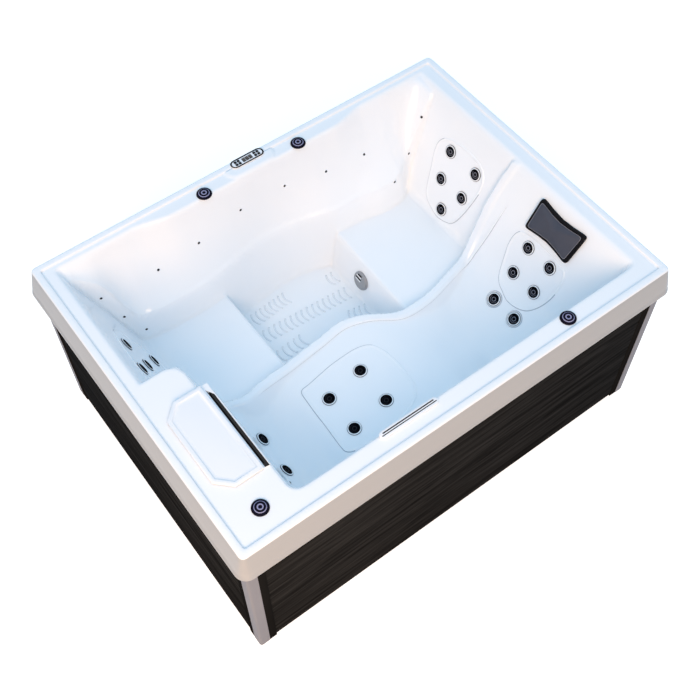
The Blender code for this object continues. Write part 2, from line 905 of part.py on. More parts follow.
# The weir flap stands in the mouth on a pin held in the housing's end walls
flap_height = 0.045
flap_thickness = 0.003
flap_pin_radius = 0.003
flap_drop = 0.052
flap_end_gap = 0.002
flap_pin_reach = 0.0015
flap_x = lid_right + mouth_width / 3
flap_half = lid_length / 2 - housing_inner - housing_wall - flap_end_gap
flap_middle = (lid_front + lid_back) / 2
flap_z = deck_level - flap_drop


def flap_pin(name, radius, half, collection):
    pin = turned(name, [(0, half), (radius, half), (radius, -half), (0, -half)], 8, collection=collection)
    pin.rotation_euler = (math.radians(90), 0, 0)
    pin.location = (flap_x, flap_middle, flap_z)
    return pin


weir_flap = flap_pin("weir_flap", flap_pin_radius, flap_half + flap_end_gap + flap_pin_reach, tub)
weir_flap.data.materials.append(white_plastic)
flap_blade = block(
    "flap_blade",
    (flap_x - flap_thickness / 2, flap_middle - flap_half, flap_z),
    (flap_x + flap_thickness / 2, flap_middle + flap_half, flap_z + flap_height),
    collection=cutters,
)
join(weir_flap, flap_blade)
flap_socket = flap_pin(
    "flap_socket",
    flap_pin_radius + clearance * 2,
    flap_half + flap_end_gap + housing_wall * 0.75,
    cutters,
)
cut(skimmer_housing, flap_socket)

# The pleated cartridge, with an end cap and a grip at its top
cartridge_radius = 0.062
cartridge_pleat = 0.010
cartridge_pleats = 20
cartridge_height = 0.190
cap_thickness = 0.010
grip_radius = 0.016
grip_height = 0.022
cartridge_x = lid_left + lid_width * 0.47
cartridge_z = flange_level - housing_depth + housing_wall + clearance
star = []
for step in range(cartridge_pleats * 2):
    angle = math.pi * step / cartridge_pleats
    radius = cartridge_radius - cartridge_pleat * (step % 2)
    star.append((radius * math.cos(angle), radius * math.sin(angle)))
filter_cartridge = plate(
    "filter_cartridge",
    star,
    cartridge_height,
    (cartridge_x, flap_middle, cartridge_z),
    filter_paper,
)
cartridge_cap = turned(
    "cartridge_cap",
    [
        (0, cap_thickness + grip_height),
        (grip_radius, cap_thickness + grip_height),
        (grip_radius, cap_thickness),
        (cartridge_radius + clearance * 4, cap_thickness),
        (cartridge_radius + clearance * 4, -cap_thickness),
        (0, -cap_thickness),
    ],
    20,
    collection=cutters,
)
cartridge_cap.location = (cartridge_x, flap_middle, cartridge_z + cartridge_height)
join(filter_cartridge, cartridge_cap)

# The control panel on its plinth, with a display and four keys on each side
panel_length = 0.165
panel_width = 0.048
panel_thickness = 0.006
panel_body_length = 0.120
panel_body_width = 0.024
panel_body_shift = 0.014
panel_body_depth = 0.011
panel_past_deck = 0.005
display_length = 0.050
display_width = 0.024
display_thickness = 0.002
display_recess = 0.0015
button_radius = 0.0048
button_height = 0.0045
button_rise = 0.0018
button_pitch_x = 0.0155
button_pitch_y = 0.0150
button_first_x = 0.0400
plinth_level = deck_level + deck_drop
panel_y = deck_half_y + panel_past_deck
body_y = panel_y - panel_body_shift
panel_top = plinth_level + panel_thickness
control_panel = plate(
    "control_panel",
    stadium(panel_length, panel_width),
    panel_thickness - clearance,
    (0, panel_y, plinth_level + clearance),
    white_plastic,
)
panel_body = block(
    "panel_body",
    (-panel_body_length / 2, body_y - panel_body_width / 2, plinth_level - panel_body_depth),
    (panel_body_length / 2, body_y + panel_body_width / 2, plinth_level + panel_thickness / 2),
    collection=cutters,
)
join(control_panel, panel_body)
panel_hole_slack = 0.002
panel_hole_half_x = panel_body_length / 2 + panel_hole_slack
panel_hole_half_y = panel_body_width / 2 + panel_hole_slack
block(
    "panel_hole",
    (-panel_hole_half_x, body_y - panel_hole_half_y, deck_level - overrun),
    (panel_hole_half_x, body_y + panel_hole_half_y, rim_level + overrun),
    collection=shell_holes,
)
display_window = block(
    "display_window",
    (-display_length / 2, panel_y - display_width / 2, panel_top - display_recess + clearance),
    (display_length / 2, panel_y + display_width / 2, panel_top - display_recess + display_thickness),
    window_glass,
)
display_pocket = block(
    "display_pocket",
    (-display_length / 2 - clearance, panel_y - display_width / 2 - clearance, panel_top - display_recess),
    (display_length / 2 + clearance, panel_y + display_width / 2 + clearance, panel_top + overrun),
    collection=cutters,
)
cut(control_panel, display_pocket)
button_places = [
    (side * (button_first_x + column * button_pitch_x), row * button_pitch_y / 2)
    for side in (-1, 1)
    for column in (0, 1)
    for row in (1, -1)
]
button_travel_room = 0.0012
for number, (across, along) in enumerate(button_places, 1):
    centre = Vector((across, panel_y + along, panel_top + button_rise))
    button = turned(
        f"button_{number}",
        [
            (0, 0),
            (button_radius * 0.8, 0),
            (button_radius, -button_rise / 3),
            (button_radius, -button_height),
            (0, -button_height),
        ],
        14,
        black_plastic,
    )
    button.location = centre
    well = turned(
        f"button_{number}_well",
        [
            (0, overrun),
            (button_radius + clearance, overrun),
            (button_radius + clearance, -button_height - button_travel_room),
            (0, -button_height - button_travel_room),
        ],
        14,
        collection=cutters,
    )
    well.location = centre
    cut(control_panel, well)

# The pillow: a padded form on a flat back, waisted along its long sides
pillow_rings = 9
pillow_steps = 40
pillow_squareness = 0.42
pillow_waist_share = 0.10
pillow_edge_share = 0.35


def pillow_point_at(reach, angle, height):
    waist = 1 - pillow_waist_share * math.sin(angle) ** 8
    across = math.copysign(abs(math.cos(angle)) ** pillow_squareness, math.cos(angle))
    along = math.copysign(abs(math.sin(angle)) ** pillow_squareness, math.sin(angle))
    return (across * pillow_length / 2 * reach, along * pillow_height / 2 * reach * waist, height)


pillow_form = bmesh.new()
pillow_profile = []
for ring in range(1, pillow_rings + 1):
    reach = ring / pillow_rings
    crown = (1 - reach**4) ** 0.5
    pillow_profile.append((reach, pillow_depth * (pillow_edge_share + (1 - pillow_edge_share) * crown)))
pillow_profile.append((1.0, clearance * 2))
top = pillow_form.verts.new((0, 0, pillow_depth))
bottom = pillow_form.verts.new((0, 0, clearance * 2))
rows = [
    [
        pillow_form.verts.new(pillow_point_at(reach, 2 * math.pi * step / pillow_steps, height))
        for step in range(pillow_steps)
    ]
    for reach, height in pillow_profile
]
for step in range(pillow_steps):
    after = (step + 1) % pillow_steps
    pillow_form.faces.new((top, rows[0][step], rows[0][after]))
    pillow_form.faces.new((bottom, rows[-1][after], rows[-1][step]))
    for inner, outer in zip(rows, rows[1:]):
        pillow_form.faces.new((inner[step], outer[step], outer[after], inner[after]))
pillow_mesh = bpy.data.meshes.new("head_pillow")
pillow_form.to_mesh(pillow_mesh)
pillow_form.free()
pillow_mesh.shade_smooth()
head_pillow = place(bpy.data.objects.new("head_pillow", pillow_mesh), pillow_foam)
head_pillow.matrix_world = upright_matrix(pillow_point, pillow_normal)

# The cabinet: four boards with a stile at each end, and a cover on each corner
cabinet_inset = 0.031
board_thickness = 0.012
board_foot = 0.012
stile_width = 0.034
stile_proud = 0.003
post_face = 0.046
post_proud = 0.004
post_thickness = 0.014
post_corner = 0.012
cabinet_top_share = 0.44
cabinet_x = half_length - cabinet_inset
cabinet_y = half_width - cabinet_inset
cabinet_top = lip_level + lip_height * cabinet_top_share


def cabinet_panel(name, half_span, face, turn):
    """A board facing -Y before it's turned about the middle of the tub."""
    pieces = [
        block(
            name,
            (-half_span, -face, board_foot),
            (half_span, board_thickness - face, cabinet_top - clearance),
            cabinet_plastic,
        )
    ]
    for number, side in enumerate((-1, 1), 1):
        outer, inner = side * half_span, side * (half_span - stile_width)
        pieces.append(
            block(
                f"{name}_stile_{number}",
                (min(outer, inner), -face - stile_proud, clearance),
                (max(outer, inner), board_thickness / 2 - face, cabinet_top),
                collection=cutters,
            )
        )
    bpy.context.view_layer.update()
    for piece in pieces:
        piece.matrix_world = Matrix.Rotation(math.radians(turn), 4, "Z") @ piece.matrix_world
    for stile in pieces[1:]:
        join(pieces[0], stile)
    return pieces[0]


panel_end = post_face - post_proud + clearance
cabinet_panel("front_panel", cabinet_x - panel_end, cabinet_y, 0)
cabinet_panel("right_panel", cabinet_y - panel_end, cabinet_x, 90)
cabinet_panel("back_panel", cabinet_x - panel_end, cabinet_y, 180)
cabinet_panel("left_panel", cabinet_y - panel_end, cabinet_x, 270)

post_outline = [
    (-post_face, 0),
    (-post_face, -post_thickness),
    (-post_thickness, -post_thickness),
    (-post_thickness, -post_face),
    (0, -post_face),
]
for step in range(5):
    angle = math.radians(90) * step / 4
    post_outline.append((post_corner * (math.cos(angle) - 1), post_corner * (math.sin(angle) - 1)))
post_ends = ("back_right", "back_left", "front_left", "front_right")
for number, post_end in enumerate(post_ends):
    post_name = "corner_post_" + post_end
    side_x = 1 if number in (0, 3) else -1
    side_y = 1 if number in (0, 1) else -1
    place_at = (side_x * (cabinet_x + post_proud), side_y * (cabinet_y + post_proud), 0)
    post = plate(post_name, post_outline, cabinet_top, (0, 0, 0), post_plastic)
    turn = Matrix.Rotation(math.radians(90 * number), 4, "Z")
    post.matrix_world = Matrix.Translation(place_at) @ turn @ post.matrix_world

# The base pan, a tray inside the boards
pan_floor = 0.005
pan_wall = 0.004
pan_height = 0.045
pan_half_x = cabinet_x - board_thickness - clearance
pan_half_y = cabinet_y - board_thickness - clearance
base_pan = block(
    "base_pan",
    (-pan_half_x, -pan_half_y, 0),
    (pan_half_x, pan_half_y, pan_height),
    black_plastic,
)
pan_pocket = block(
    "pan_pocket",
    (pan_wall - pan_half_x, pan_wall - pan_half_y, pan_floor),
    (pan_half_x - pan_wall, pan_half_y - pan_wall, pan_height + overrun),
    collection=cutters,
)
cut(base_pan, pan_pocket)

# The frame: two rings of square tube, uprights between them and bearers for the footwell
rail = 0.025
upright = 0.021
bearer_x = 0.20
leg_front_y = 0.07
leg_back_y = 0.39
frame_half_x = pan_half_x - pan_wall - clearance
frame_half_y = pan_half_y - pan_wall - clearance
frame_top = deck_level - shell_wall * steepest_drop - clearance * 3
ledge_rail = 0.008
ledge_top = rim_level - shell_wall - clearance * 2
frame_foot = pan_floor + clearance
bearer_top = floor_level - shell_wall - clearance * 3
frame_members = bpy.data.collections.new("frame_members")
cutters.children.link(frame_members)


def frame_ring(name, low, high, member, material, collection):
    ring = block(
        name,
        (-frame_half_x, -frame_half_y, low),
        (frame_half_x, frame_half_y, high),
        material,
        collection,
    )
    inside = block(
        name + "_inside",
        (member - frame_half_x, member - frame_half_y, low - overrun),
        (frame_half_x - member, frame_half_y - member, high + overrun),
        collection=cutters,
    )
    return cut(ring, inside)


support_frame = frame_ring("support_frame", frame_top - rail, frame_top, rail, frame_metal, tub)
frame_ring("frame_foot_ring", frame_foot, frame_foot + rail, rail, None, frame_members)
frame_ring("rim_ledge", frame_top - rail / 2, ledge_top, ledge_rail, None, frame_members)
for side_x in (-1, 1):
    for side_y in (-1, 1):
        stand_x = side_x * (frame_half_x - rail / 2)
        stand_y = side_y * (frame_half_y - rail / 2)
        for label, middle_x in (("corner", stand_x), ("middle", side_x * bearer_x)):
            block(
                f"upright_{label}_{side_x}_{side_y}",
                (middle_x - upright / 2, stand_y - upright / 2, frame_foot + rail / 2),
                (middle_x + upright / 2, stand_y + upright / 2, frame_top - rail / 2),
                collection=frame_members,
            )
    rail_x = side_x * bearer_x
    block(
        f"floor_rail_{side_x}",
        (rail_x - rail / 2, rail / 2 - frame_half_y, frame_foot + (rail - upright) / 2),
        (rail_x + rail / 2, frame_half_y - rail / 2, frame_foot + (rail + upright) / 2),
        collection=frame_members,
    )
    block(
        f"bearer_{side_x}",
        (rail_x - rail / 2, leg_front_y - rail, bearer_top - rail),
        (rail_x + rail / 2, leg_back_y + rail, bearer_top),
        collection=frame_members,
    )
    for label, leg_y in (("front", leg_front_y), ("back", leg_back_y)):
        block(
            f"leg_{label}_{side_x}",
            (rail_x - upright / 2, leg_y - upright / 2, frame_foot + rail / 2),
            (rail_x + upright / 2, leg_y + upright / 2, bearer_top - rail / 2),
            collection=frame_members,
        )
members = support_frame.modifiers.new("members", "BOOLEAN")
members.operation = "UNION"
members.operand_type = "COLLECTION"
members.collection = frame_members

# The jet pump under the right seat, its axis along X with the inlet on the left
pump_past_well = 0.198
pump_x = well_right + pump_past_well
pump_z = 0.120
pump_y = suction_point.y
pump_radius = 0.075
volute_radius = 0.088
volute_length = 0.070
motor_length = 0.240
pump_port_radius = 0.026
pump_port_length = 0.035
pump_foot_width = 0.110
pump_foot_length = 0.160
pump_fin_depth = 0.004
motor_start = pump_port_length + volute_length
fin_pitch = motor_length / 8
pump_profile = [(0, 0), (pump_port_radius, 0), (pump_port_radius, pump_port_length)]
pump_profile += [(volute_radius, pump_port_length), (volute_radius, motor_start)]
for fin in range(3):
    start = motor_start + fin_pitch * (2 * fin + 1)
    pump_profile += [
        (pump_radius - pump_fin_depth, motor_start if fin == 0 else start - fin_pitch),
        (pump_radius - pump_fin_depth, start),
        (pump_radius, start),
        (pump_radius, start + fin_pitch),
    ]
pump_profile += [(pump_radius, motor_start + motor_length), (0, motor_start + motor_length)]
jet_pump = turned("jet_pump", pump_profile[::-1], 16, pump_paint)
jet_pump.rotation_euler = (0, math.radians(90), 0)
jet_pump.location = (pump_x, pump_y, pump_z)
pump_foot_x = pump_x + motor_start + motor_length / 2
pump_foot = block(
    "pump_foot",
    (pump_foot_x - pump_foot_length / 2, pump_y - pump_foot_width / 2, pan_floor + clearance),
    (pump_foot_x + pump_foot_length / 2, pump_y + pump_foot_width / 2, pump_z - pump_radius * 0.6),
    collection=cutters,
)
join(jet_pump, pump_foot)
outlet_x = pump_x + pump_port_length + volute_length / 2
outlet_reach = volute_radius + pump_port_length
pump_outlet = turned(
    "pump_outlet",
    [(0, outlet_reach), (pump_port_radius, outlet_reach), (pump_port_radius, 0), (0, 0)],
    12,
    collection=cutters,
)
pump_outlet.rotation_euler = (math.radians(-90), 0, 0)
pump_outlet.location = (outlet_x, pump_y, pump_z)
join(jet_pump, pump_outlet)

# The suction pipe, from the cover's tail down to the pump's inlet
pipe_radius = 0.024
bend = 0.022
tail_end = suction_point - suction_normal * (suction_tail_length + clearance)
drop_x = (tail_end.x + pump_x) / 2
suction_pipe = tube(
    "suction_pipe",
    [
        tail_end,
        tail_end - suction_normal * bend,
        (drop_x, pump_y, tail_end.z - bend * 1.6),
        (drop_x, pump_y, pump_z + bend),
        (drop_x + bend, pump_y, pump_z),
        (pump_x - clearance, pump_y, pump_z),
    ],
    pipe_radius,
    pipe_plastic,
)

# The control pack under the left seat, with the heater tube along its side
heater_length = 0.360
heater_radius = 0.034
heater_y_share = 0.57
heater_z = 0.120
pack_margin = 0.207
pack_length = 0.280
pack_depth = 0.160
pack_height = 0.240
heater_overhang = 0.030
heater_y = heater_y_share * half_width
pack_left = pack_margin - pan_half_x
pack_right = pack_left + pack_length
heater_left = pack_left - heater_overhang
heater_right = heater_left + heater_length
control_pack = bevelled(
    block(
        "control_pack",
        (pack_left, heater_y - heater_radius / 2 - pack_depth, pan_floor + clearance),
        (pack_right, heater_y - heater_radius / 2, pan_floor + pack_height),
        grey_plastic,
    ),
    pan_floor,
)
heater_tube = turned(
    "heater_tube",
    [(0, heater_length), (heater_radius, heater_length), (heater_radius, 0), (0, 0)],
    16,
    collection=cutters,
)
heater_tube.rotation_euler = (0, math.radians(90), 0)
heater_tube.location = (heater_left, heater_y, heater_z)
join(control_pack, heater_tube)

# The return pipe, under the footwell from the pump to the heater
outlet_y = pump_y + outlet_reach + clearance
return_pipe = tube(
    "return_pipe",
    [
        (outlet_x, outlet_y, pump_z),
        (outlet_x, heater_y - bend, heater_z),
        (outlet_x - bend, heater_y, heater_z),
        (heater_right + clearance, heater_y, heater_z),
    ],
    pipe_radius,
    pipe_plastic,
)

# The shell is cut once for every fitting
holes = tub_shell.modifiers.new("holes", "BOOLEAN")
holes.operation = "DIFFERENCE"
holes.operand_type = "COLLECTION"
holes.collection = shell_holes
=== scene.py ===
import json
import math

import bmesh
import bpy
import numpy as np
from mathutils import Matrix, Vector

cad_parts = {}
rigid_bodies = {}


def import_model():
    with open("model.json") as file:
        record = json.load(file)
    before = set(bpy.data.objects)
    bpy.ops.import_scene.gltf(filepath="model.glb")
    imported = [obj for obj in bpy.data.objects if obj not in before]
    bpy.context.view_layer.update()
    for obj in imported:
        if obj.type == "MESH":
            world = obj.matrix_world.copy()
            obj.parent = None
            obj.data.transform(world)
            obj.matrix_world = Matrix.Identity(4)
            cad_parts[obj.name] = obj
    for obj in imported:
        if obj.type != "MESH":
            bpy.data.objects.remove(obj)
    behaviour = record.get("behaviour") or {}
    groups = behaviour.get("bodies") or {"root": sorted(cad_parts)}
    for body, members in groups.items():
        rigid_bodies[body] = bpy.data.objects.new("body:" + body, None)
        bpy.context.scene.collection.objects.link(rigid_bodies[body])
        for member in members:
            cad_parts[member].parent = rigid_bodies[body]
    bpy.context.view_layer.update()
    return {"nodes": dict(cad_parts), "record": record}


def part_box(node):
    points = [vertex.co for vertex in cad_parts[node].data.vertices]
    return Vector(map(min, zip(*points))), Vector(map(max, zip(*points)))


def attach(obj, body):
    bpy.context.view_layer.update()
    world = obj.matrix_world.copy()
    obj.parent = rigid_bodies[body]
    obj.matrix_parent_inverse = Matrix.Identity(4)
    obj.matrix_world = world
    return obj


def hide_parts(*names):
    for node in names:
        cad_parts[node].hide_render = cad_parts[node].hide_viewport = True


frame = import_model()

scene = bpy.context.scene
scene.view_settings.view_transform = "Standard"

# The camera looks down over the corner by the filter lid, a little longer than a
# normal lens, so that the far rim stays nearly parallel to the near one.
camera_lens = bpy.data.cameras.new("camera")
camera_lens.lens = 55.031
camera_lens.sensor_width = 36
camera = bpy.data.objects.new("camera", camera_lens)
camera.location = (-1.515842, -2.042181, 4.310571)
camera.rotation_euler = [math.radians(angle) for angle in (32.6787916, 0.1940413, -36.6785927)]
scene.collection.objects.link(camera)
scene.camera = camera

# The shell is one acrylic sheet, drawn by vacuum over a mould: rim and deck, two seats
# that face each other over a footwell, a lounger, and a flat seat for every fitting.
# It is made here as a fine grid over the same moulded heights that the solid has.
length, width, rim_level = 2.1, 1.58, 0.925
seat_level, floor_level, ledge_level = 0.44, 0.252, 0.575
ridge_level, lounge_level = 0.495, 0.405
shell_wall = 0.006
rim_width, lip_height, lip_flare = 0.033, 0.136, 0.029
bead_height, bead_step = 0.014, 0.003
half_length, half_width = length / 2, width / 2
deck_level = rim_level - 0.007
lip_level = rim_level - lip_height
deck_half_x = half_length - lip_flare - rim_width
deck_half_y = half_width - lip_flare - rim_width
front_edge_y = 0.073 - deck_half_y
back_edge_y, back_end_y = deck_half_y - 0.063, deck_half_y - 0.028
right_edge_x, left_edge_x = deck_half_x - 0.063, 0.053 - deck_half_x
recline = math.radians(23)
wall_slope, lounge_slope = 4.5, 1.2
deck_round, corner_round = 0.03, 0.05
riser_x, riser_lean, riser_reach, riser_slope = 0.252, 0.015, 0.6, 4.2
block_x, nose_x = 0.213 - deck_half_x, 0.255 - deck_half_x
apron_edge = np.array([
    (-0.857, 0.835, 0.89), (-0.762, 0.785, 0.627), (-0.681, 0.705, 0.073), (-0.61, 0.684, 0.03),
    (-0.521, 0.677, 0.015), (-0.377, 0.677, 0.015), (-0.299, 0.69, 0.015), (-0.19, 0.722, 0.01),
    (-0.114, 0.744, 0.000), (0.019, 0.76, -0.015), (0.15, 0.734, -0.015), (0.278, 0.684, 0.000),
    (0.426, 0.665, 0.015), (0.533, 0.639, 0.03), (0.629, 0.652, 0.073), (0.724, 0.728, 0.219),
    (0.795, 0.747, 0.583), (0.857, 0.76, 0.918),
]) * (half_length, half_width, 1)
ridge_line = np.array([
    (-0.762, 0.025), (-0.59, 0.006), (-0.533, -0.019), (-0.438, 0.000), (-0.305, 0.013),
    (-0.129, 0.038), (0.000, 0.051), (0.086, 0.013), (0.21, -0.078), (0.343, -0.086), (0.486, -0.044),
    (0.6, 0.000), (0.676, 0.038), (0.714, 0.051), (0.762, 0.063), (0.812, 0.063), (0.89, 0.044),
]) * (half_length, half_width)
lounge_line = np.array([
    (-0.762, 1.062), (-0.667, 0.44), (-0.59, 0.105), (-0.548, -0.01), (-0.495, -0.058), (-0.4, -0.02),
    (-0.324, 0.058), (-0.19, 0.107), (-0.048, 0.146), (0.095, 0.16), (0.21, 0.117), (0.343, 0.029),
    (0.457, 0.000), (0.552, 0.062), (0.629, 0.185), (0.686, 0.322), (0.752, 0.556), (0.819, 0.795),
    (0.881, 1.014), (0.952, 1.257),
]) * (half_length, 1)


def smooth_step(t):
    t = np.clip(t, 0, 1)
    return t * t * (3 - 2 * t)


def smooth_max(a, b, blend):
    h = np.clip(0.5 + (a - b) / (2 * blend), 0, 1)
    return b + (a - b) * h + blend * h * (1 - h)


def smooth_min(a, b, blend):
    return -smooth_max(-a, -b, blend)


def through(x, line, column=1):
    """A smooth curve through one column of a line's values at its stations along the tub."""
    stations, values = line[:, 0], line[:, column]
    slopes = np.gradient(values, stations)
    x = np.clip(x, stations[0], stations[-1])
    i = np.clip(np.searchsorted(stations, x, side="right") - 1, 0, len(stations) - 2)
    span = stations[i + 1] - stations[i]
    t = (x - stations[i]) / span
    return (
        (2 * t**3 - 3 * t**2 + 1) * values[i] + (t**3 - 2 * t**2 + t) * span * slopes[i]
        + (-2 * t**3 + 3 * t**2) * values[i + 1] + (t**3 - t**2) * span * slopes[i + 1]
    )


def rounded_corner(x, y, edge_x, edge_y, radius):
    """Distance outside a corner region that ends at edge_x and edge_y."""
    dx, dy = x - (edge_x - radius), y - (edge_y - radius)
    outside = np.hypot(np.maximum(dx, 0), np.maximum(dy, 0))
    return outside + np.minimum(np.maximum(dx, dy), 0) - radius


def apron(x, y):
    """The broad back wall and the riser under its wavy lower edge."""
    edge_y, rise = through(x, apron_edge), through(x, apron_edge, 2)
    edge_z = ledge_level + (deck_level - ledge_level) * rise
    near_corner = smooth_step((np.abs(x) / half_length - 0.38) / 0.19)
    back_y = back_edge_y + (back_end_y - back_edge_y) * near_corner
    t = np.clip((y - edge_y) / np.maximum(back_y - edge_y, shell_wall), 0, 1)
    wall = edge_z + (deck_level - edge_z) * (0.55 * t + 0.45 * t**2.2)
    wall += np.maximum(y - back_y, 0) * wall_slope
    wall = np.where(y < edge_y, edge_z - (edge_y - y) * 0.6, wall)
    fall = 5.0 + smooth_step((-x / half_length - 0.05) / 0.2)
    return smooth_min(wall, edge_z - 0.01 - (edge_y - 0.012 - y) * fall, 0.013)


def lounger(x, y, left_back):
    """The lounger's bed, the ridge beside it and how far each place lies beyond the ridge."""
    ridge_y = through(x, ridge_line)
    middle = lounge_level + (deck_level - lounge_level) * through(x, lounge_line)
    crest = smooth_max(np.full_like(x, ridge_level), middle + 0.012, 0.02)
    crest = np.minimum(smooth_max(crest, left_back, 0.02), deck_level)
    beyond = y - ridge_y
    across = np.clip(-beyond / (ridge_y - front_edge_y), 0, 1)
    bed = middle + np.maximum(crest - 0.012 - middle, 0) * np.clip(1 - across / 0.38, 0, 1) ** 2
    bed = smooth_max(bed, deck_level - (y - front_edge_y) * wall_slope, 0.09)
    fall = np.where(beyond < 0, lounge_slope, 6.0)
    return bed, crest - np.maximum(np.abs(beyond) - 0.016, 0) * fall, beyond


def basin_height(x, y):
    """Height of the moulded form inside the raised rim."""
    x, y = np.broadcast_arrays(np.asarray(x, float), np.asarray(y, float))
    right_back = deck_level - (right_edge_x - x) / math.tan(recline)
    left_back = deck_level - (x - left_edge_x) / math.tan(recline)
    form = smooth_max(np.full_like(x, seat_level), right_back, 0.05)
    form = smooth_max(form, left_back, 0.05)
    right_riser_x = riser_x - riser_lean * np.clip((riser_reach - y) / riser_reach, 0, 1)
    well = smooth_max(np.full_like(x, floor_level), floor_level + (-0.288 - x) * 9.0, 0.03)
    well = smooth_max(well, floor_level + (x - right_riser_x) * riser_slope, 0.03)
    form = smooth_min(form, well, 0.016)
    form = smooth_max(form, apron(x, y), 0.025)
    bed, ridge, beyond = lounger(x, y, left_back)
    form = smooth_max(np.where(beyond < 0, bed, form), ridge, 0.008)
    wide = rounded_corner(x, y, block_x, 0.05, 0.07)
    nose = rounded_corner(x, y, nose_x, -0.1, 0.04)
    past_y, past_x = y - front_edge_y - corner_round, x - nose_x - corner_round
    arc = corner_round - np.hypot(np.minimum(past_y, 0), np.minimum(past_x, 0))
    arc += (np.maximum(past_y, 0) + np.maximum(past_x, 0)) * 1.5
    block = deck_level - np.maximum(np.minimum(smooth_min(wide, nose, 0.02), arc), -deck_round) * 4.2
    form = smooth_min(smooth_max(form, block, 0.03), np.full_like(x, deck_level), deck_round)
    plinth = np.hypot(np.maximum(np.abs(x) - 0.075, 0), y - 0.717) - 0.05
    return form + smooth_step(-plinth / 0.012) * (rim_level - deck_level)


def facing(height, x, y, step):
    """Places on a surface of heights: their points and the way it faces there."""
    slope_x = (height(x + step, y) - height(x - step, y)) / (2 * step)
    slope_y = (height(x, y + step) - height(x, y - step)) / (2 * step)
    normal = np.stack([-slope_x, -slope_y, np.ones_like(slope_x)], -1)
    normal /= np.linalg.norm(normal, axis=-1, keepdims=True)
    return np.stack([x, y, height(x, y)], -1), normal


def standing(point, normal):
    """A matrix that puts a piece's own +Z along the normal, with its +X level."""
    side = Vector((0, 0, 1)).cross(normal)
    side = side.normalized() if side.length > 0.05 else Vector((1, 0, 0))
    turn = Matrix((side, normal.cross(side), normal)).transposed().to_4x4()
    return Matrix.Translation(point) @ turn


joint_places = {
    joint["child"]: (Vector(joint["pos_m"]), Vector(joint["axis"]))
    for joint in frame["record"]["behaviour"]["joints"] if joint["type"] == "hinge"
}
jet_places = {name: place for name, place in joint_places.items() if "_jet_" in name}
suction_y = 0.337 * half_width
suction_x = riser_x - riser_lean * (1 - suction_y / riser_reach) + 0.091 / riser_slope
suction_place = [Vector(part) for part in facing(basin_height, suction_x, suction_y, shell_wall)]
pillow_length, pillow_height, pillow_depth = 0.25, 0.15, 0.038
pillow_place = [
    Vector(part)
    for part in facing(basin_height, 0.82 * half_length, -0.37 * half_width, pillow_height / 3)
]
suction_seat_radius, jet_seat_radius, pillow_seat_margin = 0.051, 0.034, 0.004
seat_blend, pillow_seat_blend = 0.012, 0.03


def seated(form, x, y, place, outside, blend):
    """The form with a flat place where outside is below zero."""
    point, normal = place
    plane = point.z - (normal.x * (x - point.x) + normal.y * (y - point.y)) / normal.z
    weight = smooth_step(1 - outside(x - point.x, y - point.y, plane - point.z) / blend)
    return form + (plane - form) * weight


def pillow_seat(dx, dy, dz):
    edges = [size / 2 + pillow_seat_margin for size in (pillow_length, pillow_height)]
    return rounded_corner(np.abs(dy), np.hypot(dx, dz), *edges, 0.03)


def shell_height(x, y):
    form = seated(basin_height(x, y), x, y, pillow_place, pillow_seat, pillow_seat_blend)
    round_seats = [(suction_place, suction_seat_radius)]
    round_seats += [(place, jet_seat_radius) for place in jet_places.values()]
    for place, radius in round_seats:
        form = seated(
            form, x, y, place, lambda dx, dy, dz: np.sqrt(dx**2 + dy**2 + dz**2) - radius, seat_blend
        )
    return form


# Each ring of the rim: distance out from the deck, height, and radius at the corners
lip_start = rim_width + 0.0005
rim_rings = [
    (0.0012, deck_level + 0.0018, 0.01), (0.003, rim_level - 0.0012, 0.01), (0.005, rim_level, 0.01),
    (0.015, rim_level, 0.012), (0.024, rim_level, 0.015), (0.028, rim_level - 0.0004, 0.017),
    (0.0312, rim_level - 0.0022, 0.019), (lip_start, rim_level - 0.006, 0.021),
]
rim_rings += [(
    lip_start + (lip_flare - bead_step - 0.0005) * share,
    rim_level - 0.006 - (lip_height - bead_height - 0.008) * share,
    0.021 + 0.026 * share,
) for share in (0.3, 0.6, 0.85)]
lip_reach, bead_level = rim_width + lip_flare, lip_level + bead_height
rim_rings += [
    (lip_reach - bead_step - 0.002, bead_level + 0.0015, 0.047),
    (lip_reach - 0.0016, bead_level - 0.0015, 0.05),
    (lip_reach, lip_level + 0.002, 0.05), (lip_reach - 0.0012, lip_level, 0.049),
]
shell_cell = 0.007
under_step = 2


def stations(half):
    inner = np.linspace(-half, half, 2 * round(half / shell_cell) + 1)
    outer = np.array([half + out for out, level, radius in rim_rings])
    places = np.concatenate([-outer[::-1], inner, outer])
    rings = np.arange(1, len(outer) + 1)
    return places, np.concatenate([rings[::-1], np.zeros(len(inner), int), rings])


def round_the_corners(x, y, ring):
    """Bends the square corners of each ring into arcs."""
    for number, (out, level, radius) in enumerate(rim_rings, 1):
        reach_x, reach_y = deck_half_x + out, deck_half_y + out
        across, along = np.abs(x) - (reach_x - radius), np.abs(y) - (reach_y - radius)
        here = (ring == number) & (across > 0) & (along > 0)
        turn = np.where(across > along, along / radius, 2 - across / radius) * math.radians(45)
        x_arc = np.sign(x) * (reach_x - radius + radius * np.cos(turn))
        y_arc = np.sign(y) * (reach_y - radius + radius * np.sin(turn))
        x, y = np.where(here, x_arc, x), np.where(here, y_arc, y)
    return x, y


